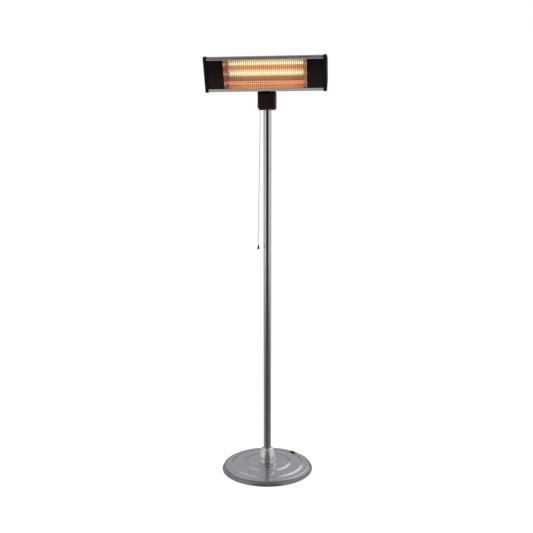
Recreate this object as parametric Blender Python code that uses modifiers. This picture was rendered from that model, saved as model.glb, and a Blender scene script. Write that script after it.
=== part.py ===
"""Free-standing infrared patio heater.

A stepped round foot carries a three-piece pole. A plastic neck block on the pole holds the cord switch
and the tilt hinge of a wide head with three quartz tubes behind a wire guard.
Metres, +Z up, the head faces -Y, and the origin is on the floor under the pole's axis.
"""
from math import atan2, cos, hypot, pi, radians, sin, tan

import bmesh
import bpy
from mathutils import Matrix, Vector

# ---- Driving dimensions ---------------------------------------------------------------------------
GAP = 0.0003                # clearance between pieces that touch
FIT = 0.0003                # clearance round a shaft or a screw in its hole
ROUND = 20                  # sides of a small round piece
WIDE_ROUND = 48             # sides of the foot's turned pieces

# Foot
COVER_RADIUS = 0.2225       # rim wall of the pressed cover
COVER_SHEET = 0.0012
RIM_HEIGHT = 0.0130         # where the rim wall turns in
LIP_BEAD = 0.0025           # how far the rolled bottom edge stands out
LIP_HEIGHT = 0.0032
FLOOR_GAP = 0.0008          # the lip clears the floor, which the feet touch
SHOULDER_HEIGHT = 0.0195    # top of the rim's shoulder
OUTER_STEP_RADIUS = COVER_RADIUS - 0.0505
OUTER_STEP_HEIGHT = 0.0265
INNER_STEP_RADIUS = 0.1100
INNER_STEP_HEIGHT = 0.0340
CROWN_HEIGHT = 0.0365       # flat centre that the pole's flange stands on
CROWN_RADIUS = 0.0560
CROWN_HOLE = 0.0150
FOOT_HEIGHT = 0.0036
FOOT_RADIUS = 0.0130
FOOT_CIRCLE = COVER_RADIUS - 0.0375
FOOT_COUNT = 3
PLATE_SHEET = 0.0012
BALLAST_RADIUS = COVER_RADIUS - 0.0605
BALLAST_THICKNESS = 0.0095
BALLAST_HUB_RADIUS = 0.0480
BALLAST_HOLE = 0.0150

# Pole
POLE_RADIUS = 0.0190
POLE_WALL = 0.0012
POLE_SECTIONS = 3
POLE_TOP = 1.7900
COUPLER_LENGTH = 0.0600
COUPLER_WALL = 0.0022
FLANGE_RADIUS = POLE_RADIUS + 0.0150
FLANGE_THICKNESS = 0.0040
FLANGE_STUB = 0.0500
BOLT_RADIUS = 0.0040
BOLT_HEAD_RADIUS = 0.0062
BOLT_HEAD_HEIGHT = 0.0048
BOLT_CIRCLE = POLE_RADIUS + 0.0085
BOLT_COUNT = 3

# Bell that hides the joint between the foot and the pole
BELL_FOOT_RADIUS = POLE_RADIUS + 0.0330
BELL_WAIST_RADIUS = POLE_RADIUS + 0.0205
BELL_TOP_RADIUS = POLE_RADIUS + 0.0095
BELL_HEIGHT = 0.0700
BELL_SHEET = 0.0010

# Mains lead inside the foot and the pole
LEAD_RADIUS = 0.0030
LEAD_DIRECTION = radians(55.0)      # where it enters the foot, from +X towards the back
INLET_CIRCLE = COVER_RADIUS - 0.0285
INLET_LENGTH = 0.0320               # along the rim
INLET_DEPTH = 0.0150                # towards the centre
INLET_TOP = 0.0285

# Neck block
NECK_HALF_WIDTH = 0.0410
NECK_FRONT = -0.0480
NECK_BACK = 0.0280
NECK_BOTTOM = POLE_TOP - 0.0270
NECK_TOP = NECK_BOTTOM + 0.0820
NECK_WALL = 0.0025
NECK_SPLIT = -0.0100                # plane where the two shells meet
NECK_CORNER = 0.0110
NECK_BEVEL = 0.0130                 # slope along the top front edge, which the tilting head clears
NECK_SCREW_RADIUS = 0.0016
NECK_SCREW_X = NECK_HALF_WIDTH - 0.0100
NECK_SCREW_Z = NECK_TOP - 0.0120

# Tilt hinge
HINGE_Y = -0.0220
HINGE_Z = NECK_TOP + 0.0070
HEAD_TILT = radians(20.0)           # how far the head leans forward at rest
HINGE_BOLT_RADIUS = 0.0040
EYE_RADIUS = HINGE_BOLT_RADIUS + 0.0040     # round end of the yoke's ears and of the tongue
TONGUE_HALF_WIDTH = 0.0100
WASHER_THICKNESS = 0.0015
YOKE_SHEET = 0.0025
HINGE_NUT_LENGTH = 0.0065
HINGE_BOLT_END = 0.0085             # thread that stands out past the ear
YOKE_BACK = 0.0130
PLUG_LENGTH = 0.0300
PLUG_HOLE = 0.0050
YOKE_SCREW_X = 0.0083
YOKE_SCREW_RADIUS = 0.0020

# Cord switch
CORD_X = 0.0095 - NECK_HALF_WIDTH
CORD_Y = -0.0220
CORD_RADIUS = 0.0010
CORD_LENGTH = 0.6360                # from the bush to the knob
CORD_DRIFT = 0.0090                 # how far the cord hangs out of plumb
KNOB_HEIGHT = 0.0190
KNOB_RADIUS = 0.0062
KNOB_NECK_RADIUS = 0.0026
SWITCH_WIDTH = 0.0146
SWITCH_DEPTH = 0.0300
SWITCH_BOTTOM = NECK_BOTTOM + 0.0110
SWITCH_TOP = SWITCH_BOTTOM + 0.0480
PLUNGER_BORE = 0.0042
PLUNGER_STEM = 0.0019
SPRING_WIRE = 0.0005
SPRING_TURNS = 7
ROTOR_RADIUS = 0.0065
ROTOR_THICKNESS = 0.0030
ROTOR_TEETH = 8

# Head, measured on its face: across (X), up the face and back from the front plane
HEAD_WIDTH = 0.5625
HEAD_HEIGHT = 0.1580
FACE_BEFORE_AXIS = 0.0423           # front plane to hinge axis
FACE_ABOVE_AXIS = 0.0827            # middle of the face to hinge axis
CASE_DEPTH = 0.0850
CASE_BACK_HEIGHT = 0.1040
CASE_RIM_DEPTH = 0.0180             # straight part behind the front edge
CASE_WALL = 0.0020
LIP_WIDTH = 0.0140
END_CAP_THICKNESS = 0.0150
END_CAP_PROUD = 0.0022
PANEL_LENGTH = 0.0745
PANEL_THICKNESS = 0.0022
WINDOW_RIM = 0.0090                 # how far the panel's back flange reaches behind the lips
REFLECTOR_SHEET = 0.0008
TROUGH_COUNT = 3
TROUGH_FRONT = 0.0120
TROUGH_BACK = 0.0400
TUBE_DEPTH = 0.0270                 # tube axis behind the front plane
TUBE_RADIUS = 0.0052
TUBE_WALL = 0.0010
TUBE_HALF_LENGTH = HEAD_WIDTH / 2 - 0.08325
FILAMENT_RADIUS = 0.0020
CERAMIC_RADIUS = TUBE_RADIUS + 0.0020
CERAMIC_LENGTH = 0.0340
CERAMIC_GRIP = 0.0220               # length of tube held in the ceramic
END_WALL_SLOPE = 0.0180             # how far the end walls lean in
END_WALL_SHEET = 0.0010
GUARD_WIRE = 0.0016
GUARD_PITCH = 0.0091
GUARD_DEPTH = 0.0062
GUARD_RAIL_REACH = 0.0040           # rails lie this far past the lips

# ---- Sizes that follow from them ------------------------------------------------------------------
PLATE_BOTTOM = FOOT_HEIGHT + GAP
PLATE_TOP = PLATE_BOTTOM + PLATE_SHEET
BALLAST_BOTTOM = PLATE_TOP + GAP
BALLAST_TOP = BALLAST_BOTTOM + BALLAST_THICKNESS
FLANGE_BOTTOM = CROWN_HEIGHT + GAP
FLANGE_TOP = FLANGE_BOTTOM + FLANGE_THICKNESS
POLE_BOTTOM = FLANGE_TOP + GAP
POLE_BORE = POLE_RADIUS - POLE_WALL
SECTION_LENGTH = (POLE_TOP - POLE_BOTTOM) / POLE_SECTIONS
YOKE_BOTTOM = POLE_TOP + GAP
YOKE_TOP = YOKE_BOTTOM + YOKE_SHEET
WASHER_INSIDE = TONGUE_HALF_WIDTH + GAP
EAR_INSIDE = WASHER_INSIDE + WASHER_THICKNESS + GAP
EAR_OUTSIDE = EAR_INSIDE + YOKE_SHEET
MOUTH_HALF_WIDTH = EAR_OUTSIDE + HINGE_BOLT_END + 0.0010
CORD_EXIT = NECK_BOTTOM
CASE_HALF = HEAD_WIDTH / 2 - END_CAP_THICKNESS - GAP
WINDOW_HALF = CASE_HALF - PANEL_LENGTH
FACE_HALF = HEAD_HEIGHT / 2
OPENING_HALF = FACE_HALF - LIP_WIDTH
BACK_HALF = CASE_BACK_HEIGHT / 2
TROUGH_PITCH = 2 * OPENING_HALF / TROUGH_COUNT
GUARD_RAILS = (-OPENING_HALF - GUARD_RAIL_REACH, OPENING_HALF + GUARD_RAIL_REACH)

for leftover in list(bpy.data.objects):
    bpy.data.objects.remove(leftover)

parts = bpy.data.collections.new("patio_heater")
helpers = bpy.data.collections.new("cutters")
bpy.context.scene.collection.children.link(parts)
bpy.context.scene.collection.children.link(helpers)

# ---- Finishes: colour, roughness, metallic ----------------------------------------------------------
FINISHES = {
    "spun_steel": ((0.56, 0.56, 0.60), 0.22, 1.0),
    "chrome_steel": ((0.70, 0.70, 0.72), 0.08, 1.0),
    "zinc_steel": ((0.55, 0.56, 0.58), 0.35, 1.0),
    "cast_iron": ((0.10, 0.10, 0.11), 0.75, 0.6),
    "black_plastic": ((0.015, 0.012, 0.012), 0.38, 0.0),
    "black_rubber": ((0.02, 0.02, 0.02), 0.80, 0.0),
    "anodised": ((0.50, 0.50, 0.54), 0.32, 1.0),
    "polished_sheet": ((0.82, 0.80, 0.78), 0.10, 1.0),
    "quartz": ((0.95, 0.85, 0.70), 0.05, 0.0),
    "hot_wire": ((1.00, 0.55, 0.20), 0.50, 0.0),
    "ceramic": ((0.85, 0.83, 0.78), 0.55, 0.0),
    "white_nylon": ((0.80, 0.80, 0.76), 0.45, 0.0),
    "cord_weave": ((0.10, 0.09, 0.09), 0.85, 0.0),
}


def finish(name):
    """The material of that name, made the first time it is asked for."""
    found = bpy.data.materials.get(name)
    if found:
        return found
    colour, roughness, metallic = FINISHES[name]
    made = bpy.data.materials.new(name)
    made.use_nodes = True
    shader = made.node_tree.nodes["Principled BSDF"]
    shader.inputs["Base Color"].default_value = (*colour, 1.0)
    shader.inputs["Roughness"].default_value = roughness
    shader.inputs["Metallic"].default_value = metallic
    return made


# ---- Modelling steps --------------------------------------------------------------------------------
def keep(mesh, name, material=None, place=(0, 0, 0), turn=(0, 0, 0), parent=None):
    """A mesh as a named part, or as a hidden cutter where it has no material."""
    obj = bpy.data.objects.new(name, mesh)
    obj.location = place
    obj.rotation_euler = turn
    obj.parent = parent
    if material:
        parts.objects.link(obj)
        mesh.materials.append(finish(material))
    else:
        helpers.objects.link(obj)
        obj.hide_render = True
        obj.display_type = "WIRE"
    return obj


def box(name, low, high, material=None, **where):
    """A block between two corners."""
    mesh = bpy.data.meshes.new(name)
    shape = bmesh.new()
    bmesh.ops.create_cube(shape, size=1.0)
    size = Vector(high) - Vector(low)
    middle = (Vector(high) + Vector(low)) / 2
    bmesh.ops.scale(shape, vec=size, verts=shape.verts)
    bmesh.ops.translate(shape, vec=middle, verts=shape.verts)
    shape.to_mesh(mesh)
    shape.free()
    return keep(mesh, name, material, **where)


def rod(name, radius, start, end, material=None, sides=ROUND, **where):
    """A round bar between two points."""
    mesh = bpy.data.meshes.new(name)
    shape = bmesh.new()
    run = Vector(end) - Vector(start)
    turn = run.to_track_quat("Z", "Y").to_matrix().to_4x4()
    place = Matrix.Translation((Vector(start) + Vector(end)) / 2) @ turn
    bmesh.ops.create_cone(shape, cap_ends=True, segments=sides, radius1=radius, radius2=radius,
                          depth=run.length, matrix=place)
    shape.to_mesh(mesh)
    shape.free()
    obj = keep(mesh, name, material, **where)
    mesh.shade_smooth()
    mesh.set_sharp_from_angle(angle=radians(40))
    return obj


def turned(name, profile, material=None, sides=ROUND, closed=True, **where):
    """A profile of (radius, height) spun about Z. It runs down its outer side; closed makes it a ring."""
    mesh = bpy.data.meshes.new(name)
    points = [(radius, 0.0, height) for radius, height in profile]
    edges = [(i, i + 1) for i in range(len(points) - 1)]
    if closed:
        edges.append((len(points) - 1, 0))
    mesh.from_pydata(points, edges, [])
    obj = keep(mesh, name, material, **where)
    spin = obj.modifiers.new("Spin", "SCREW")
    spin.steps = sides
    spin.render_steps = sides
    spin.use_merge_vertices = True
    spin.merge_threshold = 0.00002
    spin.use_smooth_shade = True
    return obj


def plate(name, outline, start, end, material=None, **where):
    """A flat outline in (Y, Z), drawn out along X from start to end."""
    curve = bpy.data.curves.new(name, "CURVE")
    curve.dimensions = "2D"
    curve.fill_mode = "BOTH"
    curve.extrude = (end - start) / 2
    line = curve.splines.new("POLY")
    line.points.add(len(outline) - 1)
    for point, (y, z) in zip(line.points, outline):
        point.co = (y, z, 0.0, 1.0)
    line.use_cyclic_u = True
    mesh = solid_from(curve, name)
    stand = Matrix(((0, 0, 1, (start + end) / 2), (1, 0, 0, 0), (0, 1, 0, 0), (0, 0, 0, 1)))
    mesh.transform(stand)
    return keep(mesh, name, material, **where)


def solid_from(curve, name):
    """The mesh of a curve, with its caps welded to its sides."""
    drawn = bpy.data.objects.new(name + "_curve", curve)
    helpers.objects.link(drawn)
    graph = bpy.context.evaluated_depsgraph_get()
    mesh = bpy.data.meshes.new_from_object(drawn.evaluated_get(graph))
    bpy.data.objects.remove(drawn)
    shape = bmesh.new()
    shape.from_mesh(mesh)
    bmesh.ops.remove_doubles(shape, verts=shape.verts, dist=0.000005)
    bmesh.ops.recalc_face_normals(shape, faces=shape.faces)
    shape.to_mesh(mesh)
    shape.free()
    mesh.name = name
    return mesh


def wire(name, route, radius, material, roundness=2):
    """A round wire or lead along a list of points."""
    curve = bpy.data.curves.new(name, "CURVE")
    curve.dimensions = "3D"
    curve.bevel_depth = radius
    curve.bevel_resolution = roundness
    curve.use_fill_caps = True
    line = curve.splines.new("POLY")
    line.points.add(len(route) - 1)
    for point, place in zip(line.points, route):
        point.co = (*place, 1.0)
    obj = bpy.data.objects.new(name, curve)
    curve.materials.append(finish(material))
    parts.objects.link(obj)
    return obj


def boolean(obj, other, operation):
    step = obj.modifiers.new(operation.title(), "BOOLEAN")
    step.operation = operation
    step.object = other
    return obj


def cut(obj, *cutters):
    for cutter in cutters:
        boolean(obj, cutter, "DIFFERENCE")
    return obj


def join(obj, *others):
    for other in others:
        boolean(obj, other, "UNION")
    return obj


def rounded(obj, width, segments=3, angle=radians(30)):
    """Every edge sharper than the angle gets a radius."""
    edge = obj.modifiers.new("Rounded", "BEVEL")
    edge.width = width
    edge.segments = segments
    edge.limit_method = "ANGLE"
    edge.angle_limit = angle
    return obj


def arc(centre, radius, start, end, count):
    """Points of an arc in (Y, Z) between two angles in degrees."""
    found = []
    for i in range(count + 1):
        angle = radians(start + (end - start) * i / count)
        found.append((centre[0] + radius * cos(angle), centre[1] + radius * sin(angle)))
    return found


def smooth(route, step):
    """Points every step along a soft curve through the route's own points."""
    ends = [route[0] * 2 - route[1], *route, route[-1] * 2 - route[-2]]
    found = []
    for a, b, c, d in zip(ends, ends[1:], ends[2:], ends[3:]):
        count = max(1, round((c - b).length / step))
        for i in range(count):
            t = i / count
            found.append(0.5 * (2 * b + (c - a) * t + (2 * a - 5 * b + 4 * c - d) * t ** 2
                                + (3 * b - a - 3 * c + d) * t ** 3))
    found.append(route[-1])
    return found


def polar(radius, angle, height):
    return Vector((radius * cos(angle), radius * sin(angle), height))


# ---- Foot -------------------------------------------------------------------------------------------
def cover_surface():
    """The outer surface of the cover, from the crown's hole out and down to the rolled edge."""
    wall = COVER_RADIUS
    inner = [
        (CROWN_HOLE, CROWN_HEIGHT),
        (CROWN_RADIUS, CROWN_HEIGHT),
        (INNER_STEP_RADIUS - 0.0060, INNER_STEP_HEIGHT),
        (INNER_STEP_RADIUS, INNER_STEP_HEIGHT - 0.0010),
        (INNER_STEP_RADIUS + 0.0080, INNER_STEP_HEIGHT - 0.0052),
        (INNER_STEP_RADIUS + 0.0150, INNER_STEP_HEIGHT - 0.0060),
    ]
    outer = [
        (OUTER_STEP_RADIUS - 0.0060, OUTER_STEP_HEIGHT),
        (OUTER_STEP_RADIUS, OUTER_STEP_HEIGHT - 0.0008),
        (OUTER_STEP_RADIUS + 0.0080, OUTER_STEP_HEIGHT - 0.0045),
        (OUTER_STEP_RADIUS + 0.0150, OUTER_STEP_HEIGHT - 0.0052),
    ]
    rim = [
        (wall - 0.0160, SHOULDER_HEIGHT),
        (wall - 0.0060, (SHOULDER_HEIGHT * 2 + RIM_HEIGHT) / 3),
        (wall - 0.0010, RIM_HEIGHT),
        (wall, LIP_HEIGHT),
        (wall + LIP_BEAD, (LIP_HEIGHT + FLOOR_GAP) / 2),
        (wall + LIP_BEAD * 0.7, FLOOR_GAP),
    ]
    return inner + outer + rim


def sheet_ring(surface, thickness):
    """A closed section: the surface and, behind it, the same line one sheet thickness inside."""
    behind = []
    for i, (radius, height) in enumerate(surface):
        before = surface[max(i - 1, 0)]
        after = surface[min(i + 1, len(surface) - 1)]
        run = hypot(after[0] - before[0], after[1] - before[1])
        across = ((after[1] - before[1]) / run, (before[0] - after[0]) / run)
        behind.append((radius + across[0] * thickness, height + across[1] * thickness))
    return surface + behind[::-1]


def bolt_places(circle, count, first):
    return [polar(circle, first + 2 * pi * i / count, 0.0) for i in range(count)]


def drill(name, places, radius, low, high):
    """Upright cutters at the given places."""
    made = []
    for i, place in enumerate(places, 1):
        start = (place.x, place.y, low)
        end = (place.x, place.y, high)
        made.append(rod(f"{name}_{i}", radius, start, end, sides=ROUND // 2))
    return made


def inlet_block(name, grow, material=None):
    """The oval hood over the lead's inlet, or, made larger, the hole that it sits in."""
    half_length = INLET_LENGTH / 2 + grow
    half_depth = INLET_DEPTH / 2 + grow
    low = BALLAST_TOP - 0.0020 - 10 * grow
    hood = box(name, (-half_depth, -half_length, low), (half_depth, half_length, INLET_TOP + 10 * grow),
               material, place=polar(INLET_CIRCLE, LEAD_DIRECTION, 0.0), turn=(0, 0, LEAD_DIRECTION))
    return rounded(hood, 0.0060 + grow, segments=3)


bolts = bolt_places(BOLT_CIRCLE, BOLT_COUNT, LEAD_DIRECTION + pi / BOLT_COUNT)
feet = bolt_places(FOOT_CIRCLE, FOOT_COUNT, pi / FOOT_COUNT)

cover = turned("base_cover", sheet_ring(cover_surface(), COVER_SHEET), "spun_steel", WIDE_ROUND)
cut(cover, inlet_block("inlet_hole", 0.0004))
cut(cover, *drill("cover_drill", bolts, BOLT_RADIUS + FIT, BALLAST_TOP, FLANGE_TOP))

turned("base_plate",
       [(0.0200, PLATE_TOP), (COVER_RADIUS - 0.0040, PLATE_TOP), (COVER_RADIUS - 0.0040, PLATE_BOTTOM),
        (0.0200, PLATE_BOTTOM)],
       "zinc_steel", WIDE_ROUND)

ballast = turned("ballast",
                 [(BALLAST_HOLE, CROWN_HEIGHT - COVER_SHEET - GAP),
                  (BALLAST_HUB_RADIUS, CROWN_HEIGHT - COVER_SHEET - GAP),
                  (BALLAST_HUB_RADIUS + 0.0030, BALLAST_TOP), (BALLAST_RADIUS, BALLAST_TOP),
                  (BALLAST_RADIUS, BALLAST_BOTTOM), (BALLAST_HOLE, BALLAST_BOTTOM)],
                 "cast_iron", WIDE_ROUND)
cut(ballast, box("lead_channel", (0.0, -LEAD_RADIUS - 0.0015, BALLAST_TOP - 0.0010),
                 (BALLAST_HUB_RADIUS + 0.0100, LEAD_RADIUS + 0.0015, CROWN_HEIGHT),
                 turn=(0, 0, LEAD_DIRECTION)))
cut(ballast, *drill("ballast_drill", bolts, BOLT_RADIUS + FIT, PLATE_TOP - 0.0020, FLANGE_TOP))

for number, place in enumerate(feet, 1):
    turned(f"foot_{number}",
           [(0.0, FOOT_HEIGHT), (FOOT_RADIUS, FOOT_HEIGHT), (FOOT_RADIUS - 0.0006, 0.0), (0.0, 0.0)],
           "black_rubber", closed=False, place=place)

inlet = inlet_block("cable_inlet", 0.0, "black_rubber")
cut(inlet, rod("inlet_bore", LEAD_RADIUS + 0.0006, polar(INLET_CIRCLE, LEAD_DIRECTION, 0.0245),
               polar(INLET_CIRCLE + INLET_DEPTH, LEAD_DIRECTION, 0.0245), sides=ROUND // 2))


# ---- Bell, flange and pole --------------------------------------------------------------------------
def bell_surface():
    """Outer line of the bell, from its mouth round the pole out and down to its flared foot."""
    foot = CROWN_HEIGHT + GAP
    top = foot + BELL_HEIGHT
    mouth = POLE_RADIUS + GAP
    return [
        (mouth, top),
        ((mouth + BELL_TOP_RADIUS) / 2 + 0.0010, top - 0.0004),
        (BELL_TOP_RADIUS, top - 0.0030),
        (BELL_TOP_RADIUS + 0.0050, top - 0.0120),
        (BELL_WAIST_RADIUS - 0.0025, top - 0.0250),
        (BELL_WAIST_RADIUS, top - 0.0400),
        (BELL_WAIST_RADIUS - 0.0005, foot + 0.0160),
        (BELL_WAIST_RADIUS + 0.0015, foot + 0.0080),
        (BELL_WAIST_RADIUS + 0.0055, foot + 0.0030),
        (BELL_FOOT_RADIUS, foot + BELL_SHEET),
    ]


turned("bell_cover", sheet_ring(bell_surface(), BELL_SHEET), "chrome_steel", 36)

flange = turned("pole_flange",
                [(POLE_BORE - GAP - COUPLER_WALL, POLE_BOTTOM + FLANGE_STUB),
                 (POLE_BORE - GAP, POLE_BOTTOM + FLANGE_STUB), (POLE_BORE - GAP, FLANGE_TOP),
                 (FLANGE_RADIUS, FLANGE_TOP), (FLANGE_RADIUS, FLANGE_BOTTOM),
                 (POLE_BORE - GAP - COUPLER_WALL, FLANGE_BOTTOM)],
                "zinc_steel")
cut(flange, *drill("flange_drill", bolts, BOLT_RADIUS + FIT, CROWN_HEIGHT - 0.0020, FLANGE_TOP + 0.0020))

for number, place in enumerate(bolts, 1):
    seat = FLANGE_TOP + GAP
    turned(f"flange_bolt_{number}",
           [(0.0, seat + BOLT_HEAD_HEIGHT), (BOLT_HEAD_RADIUS, seat + BOLT_HEAD_HEIGHT),
            (BOLT_HEAD_RADIUS, seat), (BOLT_RADIUS, seat), (BOLT_RADIUS, PLATE_TOP + 0.0010),
            (0.0, PLATE_TOP + 0.0010)],
           "zinc_steel", 6 * 3, closed=False, place=place)

SECTION_NAMES = ("pole_lower", "pole_middle", "pole_upper")
for number, name in enumerate(SECTION_NAMES):
    low = POLE_BOTTOM + number * SECTION_LENGTH
    high = low + SECTION_LENGTH - (GAP if number < POLE_SECTIONS - 1 else 0.0)
    turned(name, [(POLE_BORE, high), (POLE_RADIUS, high), (POLE_RADIUS, low), (POLE_BORE, low)],
           "chrome_steel", 36)

for number in range(1, POLE_SECTIONS):
    seam = POLE_BOTTOM + number * SECTION_LENGTH
    outside = POLE_BORE - GAP
    inside = outside - COUPLER_WALL
    turned(f"pole_coupler_{number}",
           [(inside, seam + COUPLER_LENGTH / 2), (outside, seam + COUPLER_LENGTH / 2),
            (outside, seam - COUPLER_LENGTH / 2), (inside, seam - COUPLER_LENGTH / 2)],
           "zinc_steel")

# ---- Neck block: plug, yoke and shells --------------------------------------------------------------
plug = turned("pole_plug",
              [(PLUG_HOLE, POLE_TOP), (POLE_BORE - GAP, POLE_TOP),
               (POLE_BORE - GAP, POLE_TOP - PLUG_LENGTH), (PLUG_HOLE, POLE_TOP - PLUG_LENGTH)],
              "zinc_steel")
yoke_screws = [Vector((side * YOKE_SCREW_X, 0.0, 0.0)) for side in (-1, 1)]
cut(plug, *drill("plug_drill", yoke_screws, YOKE_SCREW_RADIUS + FIT, POLE_TOP - 0.0150, POLE_TOP + 0.0020))

ear = [(HINGE_Y - EYE_RADIUS, YOKE_BOTTOM), (YOKE_BACK, YOKE_BOTTOM), (YOKE_BACK, YOKE_TOP + 0.0120)]
ear += arc((HINGE_Y, HINGE_Z), EYE_RADIUS, 30, 180, 10)
yoke = plate("tilt_yoke", ear, -EAR_OUTSIDE, EAR_OUTSIDE, "zinc_steel")
cut(yoke, box("yoke_space", (-EAR_INSIDE, HINGE_Y - 2 * EYE_RADIUS, YOKE_TOP),
              (EAR_INSIDE, YOKE_BACK + 0.0100, HINGE_Z + 2 * EYE_RADIUS)))
cut(yoke, rod("yoke_bore", HINGE_BOLT_RADIUS + FIT, (-EAR_OUTSIDE - 0.0050, HINGE_Y, HINGE_Z),
              (EAR_OUTSIDE + 0.0050, HINGE_Y, HINGE_Z)))
cut(yoke, *drill("yoke_drill", yoke_screws, YOKE_SCREW_RADIUS + FIT, POLE_TOP - 0.0020, YOKE_TOP + 0.0020))
cut(yoke, *drill("lead_hole", [Vector((0.0, 0.0, 0.0))], PLUG_HOLE, POLE_TOP - 0.0020, YOKE_TOP + 0.0020))

for number, place in enumerate(yoke_screws, 1):
    seat = YOKE_TOP + GAP
    turned(f"yoke_screw_{number}",
           [(0.0, seat + 0.0025), (0.0030, seat + 0.0022), (0.0034, seat), (YOKE_SCREW_RADIUS, seat),
            (YOKE_SCREW_RADIUS, POLE_TOP - 0.0120), (0.0, POLE_TOP - 0.0120)],
           "zinc_steel", ROUND // 2, closed=False, place=place)


def neck_form(name, inset):
    """The block's outer form, or, set in by a wall, the space inside it."""
    form = box(name, (inset - NECK_HALF_WIDTH, NECK_FRONT + inset, NECK_BOTTOM + inset),
               (NECK_HALF_WIDTH - inset, NECK_BACK - inset, NECK_TOP - inset))
    past = 0.0200
    shift = inset * 2 ** 0.5
    corner = [(NECK_FRONT - past + shift, NECK_TOP - NECK_BEVEL - past),
              (NECK_FRONT + NECK_BEVEL + past + shift, NECK_TOP + past),
              (NECK_FRONT - past, NECK_TOP + past)]
    return cut(form, plate(name + "_slope", corner, -NECK_HALF_WIDTH - past, NECK_HALF_WIDTH + past))


neck_edge = radians(50)
neck_outer = rounded(neck_form("neck_block", 0.0), NECK_CORNER, angle=neck_edge)
neck_inner = rounded(neck_form("neck_space", NECK_WALL), NECK_CORNER - NECK_WALL, angle=neck_edge)
pole_hole = rod("neck_pole_hole", POLE_RADIUS + GAP, (0, 0, NECK_BOTTOM - 0.0100),
                (0, 0, NECK_BOTTOM + 0.0100), sides=48)
neck_mouth = box("neck_mouth", (-MOUTH_HALF_WIDTH, HINGE_Y - EYE_RADIUS - 0.0015, NECK_TOP - 0.0100),
                 (MOUTH_HALF_WIDTH, YOKE_BACK + 0.0015, NECK_TOP + 0.0100))
bush_hole = rod("bush_hole", 0.0040 + GAP, (CORD_X, CORD_Y, NECK_BOTTOM - 0.0100),
                (CORD_X, CORD_Y, NECK_BOTTOM + 0.0060), sides=ROUND // 2)
screw_sides = (-NECK_SCREW_X, NECK_SCREW_X)
neck_holes = []
for number, x in enumerate(screw_sides, 1):
    neck_holes.append(rod(f"neck_screw_hole_{number}", NECK_SCREW_RADIUS + FIT,
                          (x, NECK_SPLIT - 0.0160, NECK_SCREW_Z), (x, NECK_BACK + 0.0100, NECK_SCREW_Z),
                          sides=ROUND // 2))
    cut(neck_inner, rod(f"neck_boss_{number}", 0.0040, (x, NECK_FRONT - 0.0100, NECK_SCREW_Z),
                        (x, NECK_BACK + 0.0100, NECK_SCREW_Z), sides=ROUND // 2))


def neck_shell(name, low, high):
    """One half of the block, between two planes across Y."""
    past = 0.1000
    shell = box(name, (-past, low, NECK_BOTTOM - past), (past, high, NECK_TOP + past), "black_plastic")
    boolean(shell, neck_outer, "INTERSECT")
    cut(shell, neck_inner)
    return cut(shell, pole_hole, neck_mouth, *neck_holes)


cut(neck_shell("neck_shell_front", 2 * NECK_FRONT, NECK_SPLIT - GAP / 2), bush_hole)
neck_shell("neck_shell_rear", NECK_SPLIT + GAP / 2, 2 * NECK_BACK)

for number, x in enumerate(screw_sides, 1):
    seat = NECK_BACK + GAP
    turned(f"neck_screw_{number}",
           [(0.0, seat + 0.0020), (0.0026, seat + 0.0018), (0.0032, seat), (NECK_SCREW_RADIUS, seat),
            (NECK_SCREW_RADIUS, NECK_SPLIT - 0.0140), (0.0, NECK_SPLIT - 0.0140)],
           "zinc_steel", ROUND // 2, closed=False, place=(x, 0, NECK_SCREW_Z), turn=(-pi / 2, 0, 0))

# ---- Mains lead and its terminals -------------------------------------------------------------------
lead_height = BALLAST_TOP + LEAD_RADIUS + 0.0012
lead_start = INLET_CIRCLE - INLET_DEPTH / 2 - GAP
lead_bend = 0.0290
lead_route = [polar(lead_start, LEAD_DIRECTION, lead_height - 0.0056),
              polar(BALLAST_RADIUS + 0.0150, LEAD_DIRECTION, lead_height - 0.0032),
              polar(BALLAST_RADIUS + 0.0040, LEAD_DIRECTION, lead_height),
              polar(BALLAST_RADIUS - 0.0150, LEAD_DIRECTION, lead_height),
              polar(0.1000, LEAD_DIRECTION, lead_height),
              polar(lead_bend, LEAD_DIRECTION, lead_height)]
for quarter in (0.25, 0.5, 0.75, 1.0):
    turn = quarter * pi / 2
    lead_route.append(polar(lead_bend * (1 - sin(turn)), LEAD_DIRECTION,
                            lead_height + lead_bend * (1 - cos(turn))))
lead_heights = (0.2000, POLE_TOP / 2, POLE_TOP - 0.0300, POLE_TOP + 0.0020)
lead_route += [Vector((0.0, 0.0, height)) for height in lead_heights]
lead_route += [Vector((0.0, 0.0060, POLE_TOP + 0.0200)), Vector((0.0, 0.0120, POLE_TOP + 0.0270))]
wire("supply_lead", smooth(lead_route, 0.0300), LEAD_RADIUS, "black_rubber")
terminal_bottom = POLE_TOP + 0.0180
terminal = box("terminal_block", (-0.0120, YOKE_BACK + 0.0012, terminal_bottom),
               (0.0120, NECK_BACK - NECK_WALL - GAP, terminal_bottom + 0.0160), "white_nylon")
rounded(terminal, 0.0006, segments=1)


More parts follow.
